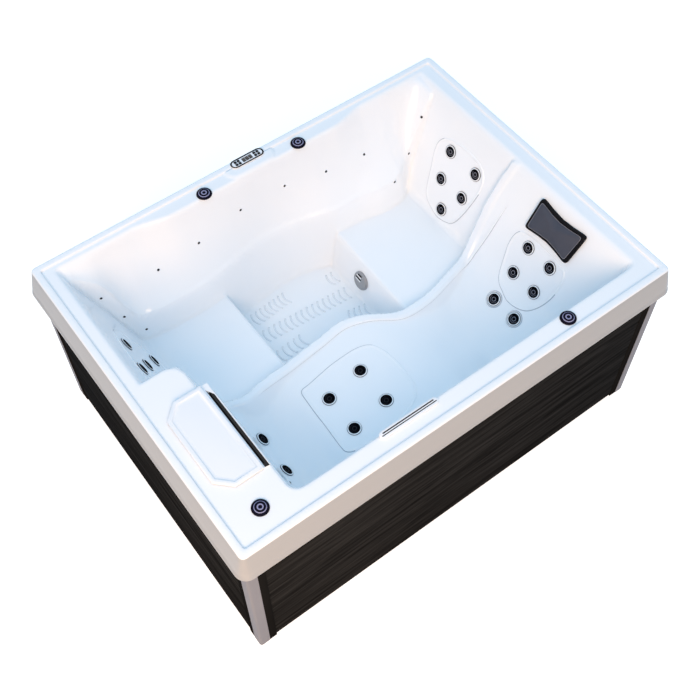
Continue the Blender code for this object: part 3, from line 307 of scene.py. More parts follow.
def underside(x, y, z):
    """Where each place on the top face meets the underside, a wall below it."""
    low = z - shell_wall
    for share in (0.6, 0.87, 0.98):
        for step in range(8):
            angle, reach = 2 * math.pi * step / 8, shell_wall * share
            beside = shell_height(x + reach * math.cos(angle), y + reach * math.sin(angle))
            low = np.minimum(low, beside - shell_wall * math.sqrt(1 - share**2))
    out = np.maximum(np.abs(x) - deck_half_x, np.abs(y) - deck_half_y)
    drop = np.minimum(z - low, shell_wall * 4)
    drop = np.where(out > 0, np.maximum(shell_wall - (rim_level - z), 0), drop)
    inward = shell_wall * np.clip(out / rim_width, 0, 1)
    across = np.maximum(np.abs(x) - (half_length - 0.06), 0)
    along = np.maximum(np.abs(y) - (half_width - 0.06), 0)
    reach = np.maximum(np.hypot(across, along), 0.0003)
    return x - np.sign(x) * inward * across / reach, y - np.sign(y) * inward * along / reach, z - drop


def shell_mesh():
    """The sheet as one closed body: a fine top face and a coarser underside."""
    (xs, ring_x), (ys, ring_y) = stations(deck_half_x), stations(deck_half_y)
    x, y = np.meshgrid(xs, ys, indexing="ij")
    ring = np.maximum.outer(ring_x, ring_y)
    z = shell_height(x, y)
    for number, (out, level, radius) in enumerate(rim_rings, 1):
        z = np.where(ring == number, level, z)
    x, y = round_the_corners(x, y, ring)
    rings = len(rim_rings)
    kept_rings = np.array([0, 3, 7, 10, rings - 1])

    def coarse(count):
        inside = np.arange(rings, count - rings, under_step)
        return np.concatenate([rings - 1 - kept_rings[::-1], inside, count - rings + kept_rings])

    def quads(grid):
        return np.stack([grid[:-1, :-1], grid[1:, :-1], grid[1:, 1:], grid[:-1, 1:]], -1).reshape(-1, 4)

    keep_x, keep_y = coarse(len(xs)), coarse(len(ys))
    pick = np.ix_(keep_x, keep_y)
    points = np.concatenate([
        np.stack(form, -1).reshape(-1, 3) for form in ((x, y, z), underside(x[pick], y[pick], z[pick]))
    ])
    top = np.arange(x.size).reshape(x.shape)
    under = np.arange(x.size, len(points)).reshape(len(keep_x), len(keep_y))
    faces = quads(top).tolist() + quads(under)[:, ::-1].tolist()
    for keep, edge, under_edge, flip in (
        (keep_x, top[:, 0], under[:, 0], True), (keep_x, top[:, -1], under[:, -1], False),
        (keep_y, top[0], under[0], False), (keep_y, top[-1], under[-1], True),
    ):
        for start, end, low, next_low in zip(keep, keep[1:], under_edge, under_edge[1:]):
            band = [*edge[start:end + 1].tolist(), int(next_low), int(low)]
            faces.append(band[::-1] if flip else band)
    mesh = bpy.data.meshes.new("acrylic_shell")
    mesh.from_pydata(points.tolist(), [], faces)
    mesh.validate()
    return mesh


def shown(name, mesh, *materials):
    """A finished piece, with its place in its mesh."""
    piece = bpy.data.objects.new(name, mesh)
    scene.collection.objects.link(piece)
    for material in materials:
        mesh.materials.append(material)
    return piece


def settled(piece, crease=180):
    """The same piece as plain mesh, with its modifiers in it, smooth up to the crease angle."""
    bpy.context.view_layer.update()
    graph = bpy.context.evaluated_depsgraph_get()
    mesh = bpy.data.meshes.new_from_object(piece.evaluated_get(graph))
    mesh.transform(piece.matrix_world)
    name = piece.name
    bpy.data.objects.remove(piece, do_unlink=True)
    mesh.name = name
    mesh.set_sharp_from_angle(angle=math.radians(crease))
    return shown(name, mesh)


def lathe(profile, steps, matrix=Matrix()):
    """A closed turned form in a bmesh: profile of (radius, height, material number)."""
    form = bmesh.new()
    rows = []
    for radius, height, slot in profile:
        angles = [2 * math.pi * step / steps for step in range(steps if radius > 0 else 1)]
        rows.append([form.verts.new((radius * math.cos(a), radius * math.sin(a), height)) for a in angles])
    for (upper, lower), (radius, height, slot) in zip(zip(rows, rows[1:]), profile):
        for step in range(steps):
            ring = [upper[step % len(upper)], lower[step % len(lower)]]
            after = [lower[(step + 1) % len(lower)], upper[(step + 1) % len(upper)]]
            corners = list(dict.fromkeys(ring + after))
            if len(corners) > 2:
                form.faces.new(corners).material_index = slot
    form.transform(matrix)
    return form


def as_mesh(name, form, crease=40):
    """The form as a mesh, smooth up to the crease angle, or flat where that is zero."""
    bmesh.ops.recalc_face_normals(form, faces=form.faces)
    mesh = bpy.data.meshes.new(name)
    form.to_mesh(mesh)
    form.free()
    if crease:
        mesh.shade_smooth()
        mesh.set_sharp_from_angle(angle=math.radians(crease))
    return mesh


def lofted(name, loops):
    """A closed form through outlines of as many points each: (outline, height, material number)."""
    form = bmesh.new()
    rows = [[form.verts.new((x, y, height)) for x, y in outline] for outline, height, slot in loops]
    for end in (0, -1):
        form.faces.new(rows[end]).material_index = loops[end][2]
    for (low, high), (outline, height, slot) in zip(zip(rows, rows[1:]), loops[1:]):
        for i in range(len(low)):
            j = (i + 1) % len(low)
            form.faces.new((low[i], low[j], high[j], high[i])).material_index = slot
    return as_mesh(name, form)


def outline_plate(name, outline, low, high):
    return lofted(name, [(outline, low, 0), (outline, high, 0)])


def stadium(long_size, short_size, middle=(0, 0), steps=10):
    """The outline of a slot with round ends."""
    radius = short_size / 2
    outline = []
    for side in (1, -1):
        for step in range(steps + 1):
            angle = math.pi * (step / steps - 0.5)
            outline.append((
                middle[0] + side * (long_size / 2 - radius + radius * math.cos(angle)),
                middle[1] + side * radius * math.sin(angle),
            ))
    return outline


def rounded_box(size_x, size_y, radius, middle=(0, 0), steps=5):
    """The outline of a rectangle with round corners."""
    outline = []
    for number, (side_x, side_y) in enumerate(((1, 1), (-1, 1), (-1, -1), (1, -1))):
        for step in range(steps + 1):
            angle = math.radians(90) * (number + step / steps)
            outline.append((
                middle[0] + side_x * (size_x / 2 - radius) + radius * math.cos(angle),
                middle[1] + side_y * (size_y / 2 - radius) + radius * math.sin(angle),
            ))
    return outline


# Plans of the filter deck's pieces, which the shell's opening follows
lid_left, lid_right = 0.043 - deck_half_x, 0.223 - deck_half_x
lid_front, lid_back = front_edge_y + 0.135, front_edge_y + 0.555
mouth_right = lid_right + 0.024


def filter_outline(inset, right):
    left, front, back = lid_left + inset, lid_front + inset, lid_back - inset
    chamfer = 0.06 - inset * (2 - math.sqrt(2))
    return [
        (right, front), (right, back), (left + chamfer, back),
        (left, back - chamfer), (left, front + chamfer), (left + chamfer, front),
    ]


shell_cutters = bpy.data.collections.new("shell_cutters")


def cutter(name, mesh):
    shell_cutters.objects.link(bpy.data.objects.new(name, mesh))


def round_cutter(name, place, radius, depth):
    profile = [(0, depth, 0), (radius, depth, 0), (radius, -depth, 0), (0, -depth, 0)]
    cutter(name, as_mesh(name, lathe(profile, 20, standing(*place)), crease=0))


for jet_name, place in jet_places.items():
    round_cutter(jet_name + "_hole", place, radius=0.0264, depth=0.032)
round_cutter("suction_hole", suction_place, radius=0.0234, depth=0.034)
for knob_name, place in joint_places.items():
    if knob_name.startswith("valve_knob"):
        round_cutter(knob_name + "_hole", place, radius=0.0124, depth=0.03)
spout_x, spout_y, tail_y = -0.219 * half_length, front_edge_y - 0.012, front_edge_y - 0.0135
tail_foot = (Vector((spout_x, tail_y, deck_level)), Vector((0, 0, 1)))
round_cutter("spout_hole", tail_foot, radius=0.0096, depth=0.03)
for hole_name, outline in (
    ("lid_hole", filter_outline(0.014, mouth_right - 0.006)),
    ("panel_hole", [(-0.062, 0.7125), (0.062, 0.7125), (0.062, 0.733), (-0.062, 0.733)]),
):
    cutter(hole_name, outline_plate(hole_name, outline, deck_level - 0.02, rim_level + 0.025))

acrylic_shell = shown("acrylic_shell", shell_mesh())
holes = acrylic_shell.modifiers.new("holes", "BOOLEAN")
holes.operation = "DIFFERENCE"
holes.operand_type = "COLLECTION"
holes.collection = shell_cutters
holes.solver = "MANIFOLD"
acrylic_shell = settled(acrylic_shell)
acrylic_shell.data.shade_smooth()
for leftover in list(shell_cutters.objects):
    bpy.data.objects.remove(leftover, do_unlink=True)


def wire(tree, parts, joints):
    """Fills a tree with nodes, each a kind and its settings, or finds the one that has that
    name, and joins them: 'node.Socket > node.Socket'."""
    nodes = {}
    for name, (kind, settings) in parts.items():
        node = tree.nodes.get(kind)
        if node is None:
            node = tree.nodes.new(kind)
            node.name = name
        nodes[name] = node
        for key, value in settings.items():
            if hasattr(node, str(key)):
                setattr(node, key, value)
            else:
                node.inputs[key].default_value = value
    for joint in joints.replace("\n", ",").split(","):
        if ">" in joint:
            (start, output), (end, entry) = (side.strip().split(".") for side in joint.split(">"))
            output, entry = (int(key) if key.isdigit() else key for key in (output, entry))
            tree.links.new(nodes[start].outputs[output], nodes[end].inputs[entry])


def node_group(name, kind, inputs, outputs, parts, joints):
    """A node tree of its own, with named inputs that hold a value each, and named outputs."""
    tree = bpy.data.node_groups.new(name, kind + "NodeTree")
    for label, (socket, value) in inputs.items():
        entry = tree.interface.new_socket(label, in_out="INPUT", socket_type="NodeSocket" + socket)
        if value is not None:
            entry.default_value = value
    for label, socket in outputs.items():
        tree.interface.new_socket(label, in_out="OUTPUT", socket_type="NodeSocket" + socket)
    wire(tree, {"given": ("NodeGroupInput", {}), "result": ("NodeGroupOutput", {}), **parts}, joints)
    return tree


# Moulded plastic clouds slightly in its colour and has a fine grain
surface_outputs = {"Colour": "Color", "Roughness": "Float", "Normal": "Vector"}
moulded_surface = node_group("moulded_surface", "Shader", {
    "Colour": ("Color", (0.8, 0.8, 0.8, 1)), "Clouded Colour": ("Color", (0.7, 0.7, 0.7, 1)),
    "Cloud Scale": ("Float", 3.0), "Grain Scale": ("Float", 400.0), "Grain Depth": ("Float", 0.0002),
    "Roughness": ("Float", 0.3), "Roughness Spread": ("Float", 0.05),
}, surface_outputs, {
    "place": ("ShaderNodeTexCoord", {}),
    "clouds": ("ShaderNodeTexNoise", {"Detail": 3}),
    "grain": ("ShaderNodeTexNoise", {"Detail": 2}),
    "mix": ("ShaderNodeMix", {"data_type": "RGBA"}),
    "spread": ("ShaderNodeMath", {"operation": "MULTIPLY_ADD"}),
    "bump": ("ShaderNodeBump", {"Strength": 1.0}),
}, """
    place.Object > clouds.Vector, given.Cloud Scale > clouds.Scale, clouds.Fac > mix.Factor
    given.Colour > mix.6, given.Clouded Colour > mix.7, mix.2 > result.Colour
    place.Object > grain.Vector, given.Grain Scale > grain.Scale
    grain.Fac > spread.0, given.Roughness Spread > spread.1, given.Roughness > spread.2
    spread.Value > result.Roughness
    grain.Fac > bump.Height, given.Grain Depth > bump.Distance, bump.Normal > result.Normal
""")


def finished(name, surface_group, values, metallic=0.0, coat=0.0, specular=0.5):
    """A material whose colour, roughness and relief come from a surface group."""
    material = bpy.data.materials.new(name)
    material.use_nodes = True
    nodes, links = material.node_tree.nodes, material.node_tree.links
    shader = nodes["Principled BSDF"]
    shader.inputs["Metallic"].default_value = metallic
    shader.inputs["Coat Weight"].default_value = coat
    shader.inputs["Coat Roughness"].default_value = 0.08
    shader.inputs["Specular IOR Level"].default_value = specular
    surface = nodes.new("ShaderNodeGroup")
    surface.node_tree = surface_group
    for label, value in values.items():
        surface.inputs[label].default_value = value
    for label, socket in (("Colour", "Base Color"), ("Roughness", "Roughness"), ("Normal", "Normal")):
        links.new(surface.outputs[label], shader.inputs[socket])
    return material


def moulded(name, colour, clouded, roughness, grain=(400, 0.0001), cloud_scale=3.0, spread=0.05, **gloss):
    """A material of moulded plastic, with its colours, gloss and grain of its own."""
    return finished(name, moulded_surface, {
        "Colour": (*colour, 1), "Clouded Colour": (*clouded, 1), "Cloud Scale": cloud_scale,
        "Grain Scale": grain[0], "Grain Depth": grain[1],
        "Roughness": roughness, "Roughness Spread": spread,
    }, **gloss)


acrylic = {"grain": (90, 0.0001), "cloud_scale": 1.6, "spread": 0.04}
white_acrylic = moulded(
    "white_acrylic", (0.87, 0.915, 0.955), (0.89, 0.925, 0.955), 0.2, **acrylic, coat=0.35
)
# painted shade: the lip's outer faces get a darker, duller copy of the same white acrylic, as the sheet is
# one colour
lip_acrylic = moulded(
    "lip_acrylic", (0.405, 0.425, 0.44), (0.425, 0.445, 0.46), 0.34, **acrylic, coat=0.06, specular=0.35
)
acrylic_shell.data.materials.clear()
for material in (white_acrylic, lip_acrylic):
    acrylic_shell.data.materials.append(material)
# Faces past the deck's edge, on the lip, take the darker copy with its painted shade
middles = np.empty(len(acrylic_shell.data.polygons) * 3)
acrylic_shell.data.polygons.foreach_get("center", middles)
middles = np.abs(middles.reshape(-1, 3))
past_deck = middles[:, :2] - (deck_half_x, deck_half_y)
on_lip = (past_deck > rim_width).any(axis=1)
on_lip |= (past_deck > 0).all(axis=1) & (middles[:, 2] < rim_level - 0.006)
acrylic_shell.data.polygons.foreach_set("material_index", on_lip.astype(np.int32))
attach(acrylic_shell, "tub")
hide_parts("tub_shell")

# The jets are moulded inserts that turn in their bodies to open and close: a pale flange
# on the acrylic, and a black face with a ring round the nozzle and one raised arc that
# shows how far it is turned.
jet_pale = moulded("jet_flange_white", (0.82, 0.86, 0.9), (0.85, 0.88, 0.91), 0.25, coat=0.3)
jet_dark = moulded("jet_face_black", (0.0022, 0.0022, 0.0035), (0.0035, 0.0035, 0.006), 0.6, specular=0.01)
# painted shadow: a grey band round the flange's outer edge stands for the shadow in the gap where the flange
# meets the acrylic
jet_gap_shadow = moulded("jet_outline_grey", (0.07, 0.075, 0.09), (0.095, 0.1, 0.115), 0.5, specular=0.2)
ring_silver = moulded("ring_silver", (0.15, 0.16, 0.2), (0.2, 0.21, 0.25), 0.35, specular=0.15)
# Rows with material number 3 make that painted gap shadow at the flange's outer edge
jet_profile = [
    (0, 0.003, 1), (0.006, 0.003, 1), (0.0072, 0.002, 2), (0.0078, 0.0032, 2), (0.0098, 0.0032, 2),
    (0.0104, 0.0016, 1), (0.0116, 0.0004, 1), (0.014, 0.0002, 1), (0.0196, 0.0004, 1),
    (0.0212, 0.0016, 1), (0.023, 0.004, 1), (0.0243, 0.005, 1), (0.025, 0.0044, 0), (0.0254, 0.0038, 0),
    (0.0288, 0.004, 0), (0.0296, 0.0034, 3), (0.0313, 0.0026, 3), (0.0315, 0.0008, 1),
    (0.025, 0.0008, 1), (0.025, -0.032, 1), (0, -0.032, 1),
]
# The arc is swept round the jet's axis. Its tree takes any number of them
vane_tree = node_group("jet_vanes", "Geometry", {
    "Vanes": ("Int", 1), "Inner Radius": ("Float", 0.016), "Outer Radius": ("Float", 0.0182),
    "Sweep": ("Float", 0.56), "Thickness": ("Float", 0.0015), "Height": ("Float", 0.003),
    "Vane Material": ("Material", None),
}, {"Vanes": "Geometry"}, {
    "spiral": ("GeometryNodeCurveSpiral", {"Resolution": 48, "Height": 0.0}),
    "section": ("GeometryNodeCurvePrimitiveQuadrilateral", {}),
    "sweep": ("GeometryNodeCurveToMesh", {"Fill Caps": True}),
    "points": ("GeometryNodePoints", {}),
    "index": ("GeometryNodeInputIndex", {}),
    "share": ("ShaderNodeMath", {"operation": "DIVIDE"}),
    "angle": ("ShaderNodeMath", {"operation": "MULTIPLY", 1: 2 * math.pi}),
    "turn": ("ShaderNodeCombineXYZ", {}),
    "spread": ("GeometryNodeInstanceOnPoints", {}),
    "realize": ("GeometryNodeRealizeInstances", {}),
    "dress": ("GeometryNodeSetMaterial", {}),
}, """
    given.Sweep > spiral.Rotations, given.Inner Radius > spiral.Start Radius
    given.Outer Radius > spiral.End Radius
    given.Thickness > section.Width, given.Height > section.Height
    spiral.Curve > sweep.Curve, section.Curve > sweep.Profile Curve
    given.Vanes > points.Count, index.Index > share.0, given.Vanes > share.1
    share.Value > angle.0, angle.Value > turn.Z
    points.0 > spread.Points, sweep.Mesh > spread.Instance, turn.Vector > spread.Rotation
    spread.Instances > realize.Geometry, realize.Geometry > dress.Geometry
    given.Vane Material > dress.Material, dress.Geometry > result.Vanes
""")


def grown(name, tree, matrix=Matrix(), **values):
    """What a tree makes, as plain mesh. Its values go in by the inputs' names."""
    piece = shown(name, bpy.data.meshes.new(name))
    piece.matrix_world = matrix
    modifier = piece.modifiers.new(tree.name, "NODES")
    modifier.node_group = tree
    for item in tree.interface.items_tree:
        label = item.name.replace(" ", "_").lower()
        if item.in_out == "INPUT" and label in values:
            modifier[item.identifier] = values[label]
    return settled(piece)


vane_grey = moulded("vane_grey", (0.016, 0.018, 0.022), (0.026, 0.028, 0.034), 0.45, specular=0.05)
vane_slot = 2
for group_name, vane_colour in (
    ("right_seat", ring_silver), ("left_seat", vane_grey), ("lounge_back", ring_silver),
    ("calf", vane_grey), ("foot", vane_grey),
):
    vanes = grown("vanes", vane_tree, vane_material=vane_colour)
    jet_form = lathe(jet_profile, 32)
    turned_faces = len(jet_form.faces)
    jet_form.from_mesh(vanes.data)
    bpy.data.objects.remove(vanes, do_unlink=True)
    jet_form.faces.ensure_lookup_table()
    for face in jet_form.faces[turned_faces:]:
        face.material_index = vane_slot
    jet_mesh = as_mesh("jet", jet_form, crease=180)
    for jet_name, place in jet_places.items():
        if group_name in jet_name:
            mesh = jet_mesh.copy()
            mesh.transform(standing(*place))
            jet = shown(jet_name + "_insert", mesh, jet_pale, jet_dark, vane_colour, jet_gap_shadow)
            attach(jet, jet_name)
            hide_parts(jet_name)

# The sheet's finer moulding: each group of jets sits in a low raised field, the ridge
# has a crease on the lounger's side, and the two lowest back jets have a ring each.
# painted shade: a darker copy of the white acrylic, laid on the steps' outer walls where shade falls on them
crease_acrylic = moulded(
    "crease_acrylic", (0.4, 0.44, 0.5), (0.44, 0.48, 0.54), 0.3, **acrylic, coat=0.1
)
field_step = [
    (-0.0014, -0.0012), (0.0, 0.0002), (0.0032, 0.0026), (0.0052, 0.0032), (0.008, 0.0026),
    (0.018, -0.0012), (0.008, -0.0024),
]
ring_step = [
    (-0.0016, -0.003), (-0.0002, 0.001), (0.0018, 0.0034), (0.0028, 0.0038), (0.004, 0.0028),
    (0.0056, -0.003), (0.0028, -0.0045),
]
crease_step = [
    (-0.0012, -0.0012), (0.0, 0.0001), (0.0018, 0.0024), (0.0042, 0.003), (0.009, 0.0024),
    (0.019, -0.0014), (0.009, -0.0024),
]
right_seat_field = [
    (0.8647, 0.4247), (0.848, 0.46), (0.8261, 0.46), (0.7903, 0.435), (0.7499, 0.4123),
    (0.7355, 0.3804), (0.729, 0.3423), (0.72, 0.2977), (0.723, 0.25), (0.7389, 0.18), (0.8188, 0.134),
    (0.848, 0.141), (0.87, 0.1804), (0.874, 0.26), (0.874, 0.34),
]
left_seat_field = [
    (-0.888, 0.32), (-0.89, 0.22), (-0.887, 0.16), (-0.865, 0.135), (-0.8188, 0.13), (-0.77, 0.14),
    (-0.733, 0.165), (-0.723, 0.23), (-0.72, 0.2977), (-0.729, 0.3423), (-0.7355, 0.3804),
    (-0.7499, 0.4123), (-0.7903, 0.435), (-0.8261, 0.455), (-0.856, 0.45), (-0.878, 0.41),
]
lounge_back_field = [
    (0.815, -0.17), (0.796, -0.133), (0.7643, -0.1301), (0.7417, -0.1433), (0.7118, -0.1593),
    (0.68, -0.1817), (0.6641, -0.2102), (0.6571, -0.2395), (0.645, -0.2779), (0.645, -0.3177),
    (0.6522, -0.3584), (0.6675, -0.3967), (0.705, -0.43), (0.75, -0.453), (0.795, -0.45),
    (0.815, -0.41),
]
calf_field = [
    (0.01, -0.085), (-0.1584, -0.081), (-0.2378, -0.0922), (-0.2954, -0.0999), (-0.3404, -0.099),
    (-0.3419, -0.1496), (-0.3446, -0.2317), (-0.3465, -0.3119), (-0.352, -0.3911), (-0.3503, -0.455),
    (-0.25, -0.48), (-0.09, -0.48), (0.05, -0.43), (0.07, -0.3), (0.06, -0.16),
]


def softened(points, rounds=3):
    """Cuts the corners of an outline until it runs smoothly."""
    points = np.array(points, float)
    for number in range(rounds):
        after = np.roll(points, -1, axis=0)
        cut = np.stack([points * 0.75 + after * 0.25, points * 0.25 + after * 0.75], 1)
        points = cut.reshape(-1, 2)
    return points


def on_the_sheet(places):
    """The sheet's points over places in plan, and the way that it faces at each."""
    return facing(shell_height, places[:, 0], places[:, 1], shell_wall / 2)


def moulded_step(name, line, section, closed=True, shaded_all_round=False):
    """A soft step in the sheet along a line, rising on the line's left-hand side. The first bands of its wall
    carry painted shade where they face down or towards +y, and all round when shaded_all_round is set.
    """
    end_steps, end_sink = 6, 0.0025
    base, normal = on_the_sheet(line)
    along = np.roll(base, -1, axis=0) - np.roll(base, 1, axis=0)
    sunk = np.zeros(len(line))
    if not closed:
        along[0], along[-1] = base[1] - base[0], base[-1] - base[-2]
        from_end = np.minimum(np.arange(len(line)), np.arange(len(line))[::-1])
        sunk = end_sink * (1 - np.clip(from_end / end_steps, 0, 1))
    inward = np.cross(normal, along)
    inward /= np.linalg.norm(inward, axis=1, keepdims=True)
    # Walls turned down or towards +y, away from the light, take the painted shade
    shaded = (inward[:, 2] > 0.1) | (inward[:, 1] < -0.6) | shaded_all_round
    form = bmesh.new()
    rows = []
    for offset, height in section:
        points, square = on_the_sheet(base + inward * offset)
        points = points + square * (height - sunk)[:, None]
        rows.append([form.verts.new(point) for point in points.tolist()])
    last = len(line) if closed else len(line) - 1
    for number, (low, high) in enumerate(zip(rows, rows[1:] + rows[:1])):
        for i in range(last):
            j = (i + 1) % len(line)
            face = form.faces.new((low[i], low[j], high[j], high[i]))
            face.material_index = int(number < 2 and shaded[i])
    if not closed:
        for end in (0, -1):
            form.faces.new([row[end] for row in rows])
    step = shown(name, as_mesh(name, form), white_acrylic, crease_acrylic)
    step.data.shade_smooth()
    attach(step, "tub")


for field_name, outline in (
    ("right_seat_field", right_seat_field), ("left_seat_field", left_seat_field),
    ("lounge_back_field", lounge_back_field), ("calf_field", calf_field),
):
    moulded_step(field_name, softened(outline), field_step)
crease_away, crease_widening = 0.027, 0.06
crease_x = np.linspace(-0.5, 0.84, 120)
crease_y = through(crease_x, ridge_line) - crease_away
crease_y -= crease_widening * smooth_step((crease_x - 0.58) / 0.26)
# The crease's wall takes painted shade all round, as do the rings round jets 5 and 6
moulded_step(
    "ridge_crease", np.stack([crease_x, crease_y], 1), crease_step, closed=False, shaded_all_round=True
)
ring_radius = 0.0385
ring_outline = [
    Vector((ring_radius * math.cos(a), ring_radius * math.sin(a), 0))
    for a in np.linspace(0, 2 * math.pi, 49)[:-1]
]
for jet_name in ("lounge_back_jet_5", "lounge_back_jet_6"):
    turn = standing(*jet_places[jet_name])
    ring = np.array([(turn @ place)[:2] for place in ring_outline])
    moulded_step(jet_name + "_ring", ring, ring_step, shaded_all_round=True)

# Twelve small lights look out of the apron and the left corner, each a dark lens in a
# pale ring. One more small fitting sits by the foot jets.
light_places = [
    (-0.552, 0.615), (-0.347, 0.613), (-0.114, 0.639), (0.118, 0.639), (0.324, 0.613), (0.532, 0.606),
    (0.626, 0.493), (0.759, 0.559), (0.844, 0.583), (-0.825, 0.608), (-0.767, 0.566), (-0.702, 0.526),
    (-0.612, -0.42),
]
light_profile = [
    (0, 0.0024, 1), (0.0034, 0.0022, 1), (0.0054, 0.0014, 1), (0.0058, 0.0012, 0), (0.0062, 0.0018, 0),
    (0.0074, 0.0016, 0), (0.0082, 0.0004, 0), (0.0082, -0.0008, 0), (0, -0.0008, 0),
]
lens_dark = moulded("lens_dark", (0.004, 0.005, 0.007), (0.008, 0.009, 0.011), 0.35, specular=0.2)
for number, (x, y) in enumerate(light_places, 1):
    (point,), (normal,) = on_the_sheet(np.array([(x, y)]))
    form = lathe(light_profile, 20, standing(Vector(point), Vector(normal)))
    lamp = shown(f"small_light_{number}", as_mesh("small_light", form), jet_pale, lens_dark)
    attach(lamp, "tub")

# The footwell's floor has rows of short bent ribs, so that wet feet don't slip on it.
# They are part of the mould. A tree sweeps one bent rib and copies it along the row.
bend_radius, rib_sink, rib_flatness = 0.058, 0.0006, 0.9
grip_tree = node_group("grip_ribs", "Geometry", {
    "Ribs": ("Int", 16), "Pitch": ("Float", 0.027), "Bend Radius": ("Float", bend_radius),
    "Start Angle": ("Float", math.radians(180 - 37)), "Bend Angle": ("Float", math.radians(74)),
    "Rib Radius": ("Float", 0.0046), "Rib Material": ("Material", None),
}, {"Grips": "Geometry"}, {
    "arc": ("GeometryNodeCurveArc", {"mode": "RADIUS", "Resolution": 10}),
    "section": ("GeometryNodeCurvePrimitiveCircle", {"mode": "RADIUS", "Resolution": 8}),
    "sweep": ("GeometryNodeCurveToMesh", {"Fill Caps": True}),
    "offset": ("ShaderNodeCombineXYZ", {}),
    "row": ("GeometryNodeMeshLine", {}),
    "spread": ("GeometryNodeInstanceOnPoints", {}),
    "realize": ("GeometryNodeRealizeInstances", {}),
    "dress": ("GeometryNodeSetMaterial", {}),
}, """
    given.Bend Radius > arc.Radius, given.Start Angle > arc.Start Angle
    given.Bend Angle > arc.Sweep Angle, given.Rib Radius > section.Radius
    arc.Curve > sweep.Curve, section.Curve > sweep.Profile Curve
    given.Pitch > offset.X, given.Ribs > row.Count, offset.Vector > row.Offset
    row.Mesh > spread.Points, sweep.Mesh > spread.Instance
    spread.Instances > realize.Geometry, realize.Geometry > dress.Geometry
    given.Rib Material > dress.Material, dress.Geometry > result.Grips
""")
# painted shade: the ribs are moulded in the same white sheet, and their darker copy of the acrylic darkens
# the floor as shade does
grip_acrylic = moulded("grip_acrylic", (0.76, 0.81, 0.86), (0.79, 0.83, 0.88), 0.25, **acrylic, coat=0.3)
grip_rows = [
    (16, -0.239, 0.329, 0.2, 0.303), (8, -0.23, 0.432, -0.045, 0.4485),
    (5, -0.246, 0.199, -0.117, 0.21), (4, 0.137, 0.185, 0.218, 0.172), (2, 0.18, 0.408, 0.208, 0.41),
]
for number, (count, x, y, end_x, end_y) in enumerate(grip_rows, 1):
    start = Matrix.Translation((x, y, floor_level - rib_sink))
    turn = Matrix.Rotation(math.atan2(end_y - y, end_x - x), 4, "Z")
    grips = grown(
        f"floor_grips_{number}", grip_tree,
        start @ turn @ Matrix.Translation((bend_radius, 0, 0)) @ Matrix.Diagonal((1, 1, rib_flatness, 1)),
        ribs=count, pitch=math.hypot(end_x - x, end_y - y) / (count - 1), rib_material=grip_acrylic,
    )
    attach(grips, "tub")

# The suction cover is a ribbed plastic grille low on the footwell's riser, screwed over
# the pump's intake so that nothing is drawn in.
cover_grey = moulded("cover_grey", (0.25, 0.265, 0.285), (0.32, 0.335, 0.355), 0.3, coat=0.3)
# Near-black for the slots: painted shade of the openings
cover_dark = moulded("cover_dark", (0.004, 0.004, 0.005), (0.006, 0.006, 0.008), 0.6, specular=0.1)
cover_profile = [
    (0, 0.0112, 0), (0.03, 0.0108, 0), (0.0372, 0.0112, 0), (0.0392, 0.013, 0), (0.044, 0.011, 0),
    (0.0466, 0.006, 0), (0.047, 0.0008, 0), (0.022, 0.0008, 0), (0.022, -0.034, 0), (0, -0.034, 0),
]
suction_grille = shown(
    "suction_grille", as_mesh("suction_grille", lathe(cover_profile, 48, standing(*suction_place))),
    cover_grey, cover_dark,
)
# Two dark boxes in its upper half stand for the slots that let the water in: painted shade of the openings. A
# pale bar beside each is a painted highlight on the slot's edge
slot_shade_form, highlight_bar_form = bmesh.new(), bmesh.new()
for across, width, reach, form in (
    (0.0095, 0.012, 0.036, slot_shade_form), (0.0285, 0.009, 0.027, slot_shade_form),
    (-0.0005, 0.006, 0.036, highlight_bar_form), (0.0195, 0.0072, 0.033, highlight_bar_form),
):
    level = 0.011 if form is slot_shade_form else 0.0118
    middle = Matrix.Translation((-reach / 2 + 0.004, across, level))
    bmesh.ops.create_cube(form, size=1.0, matrix=middle @ Matrix.Diagonal((reach, width, 0.0018, 1)))
for form in (slot_shade_form, highlight_bar_form):
    form.transform(standing(*suction_place))
grille_slots = shown("grille_slots", as_mesh("grille_slots", slot_shade_form, crease=0), cover_dark)
grille_bars = shown("grille_bars", as_mesh("grille_bars", highlight_bar_form, crease=0), jet_pale)
for piece in (suction_grille, grille_slots, grille_bars):
    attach(piece, "tub")
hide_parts("suction_cover")

# The valve knobs turn on the deck to share the water and air between the jets. Each is
# a low black cap with two paler rings.
knob_dark = moulded("knob_black", (0.0025, 0.0025, 0.01), (0.004, 0.004, 0.014), 0.45, specular=0.06)
knob_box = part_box("valve_knob_1")
knob_height = knob_box[1][2] - deck_level
knob_radius = (knob_box[1][0] - knob_box[0][0]) / 2
knob_shares = [
    (0, 0.8, 0), (0.19, 0.8, 0), (0.22, 0.88, 1), (0.25, 0.93, 1), (0.34, 0.93, 1), (0.37, 0.86, 0),
    (0.42, 0.8, 0), (0.6, 0.8, 0), (0.625, 0.81, 1), (0.64, 0.79, 1), (0.69, 0.69, 1), (0.71, 0.64, 0),
    (0.86, 0.56, 0), (0.95, 0.46, 0), (0.99, 0.3, 0),
]
knob_profile = [(radius * knob_radius, height * knob_height, slot) for radius, height, slot in knob_shares]
knob_profile += [(knob_radius, 0.0008, 0), (0.011, 0.0008, 0), (0.011, -0.03, 0), (0, -0.03, 0)]
knob_ring = moulded("knob_ring", (0.24, 0.25, 0.42), (0.3, 0.31, 0.48), 0.35, specular=0.3)
for knob_name, place in joint_places.items():
    if knob_name.startswith("valve_knob"):
        form = lathe(knob_profile, 40, standing(*place))
        knob = shown(knob_name + "_cap", as_mesh(knob_name, form), knob_dark, knob_ring)
        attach(knob, knob_name)
        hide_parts(knob_name)

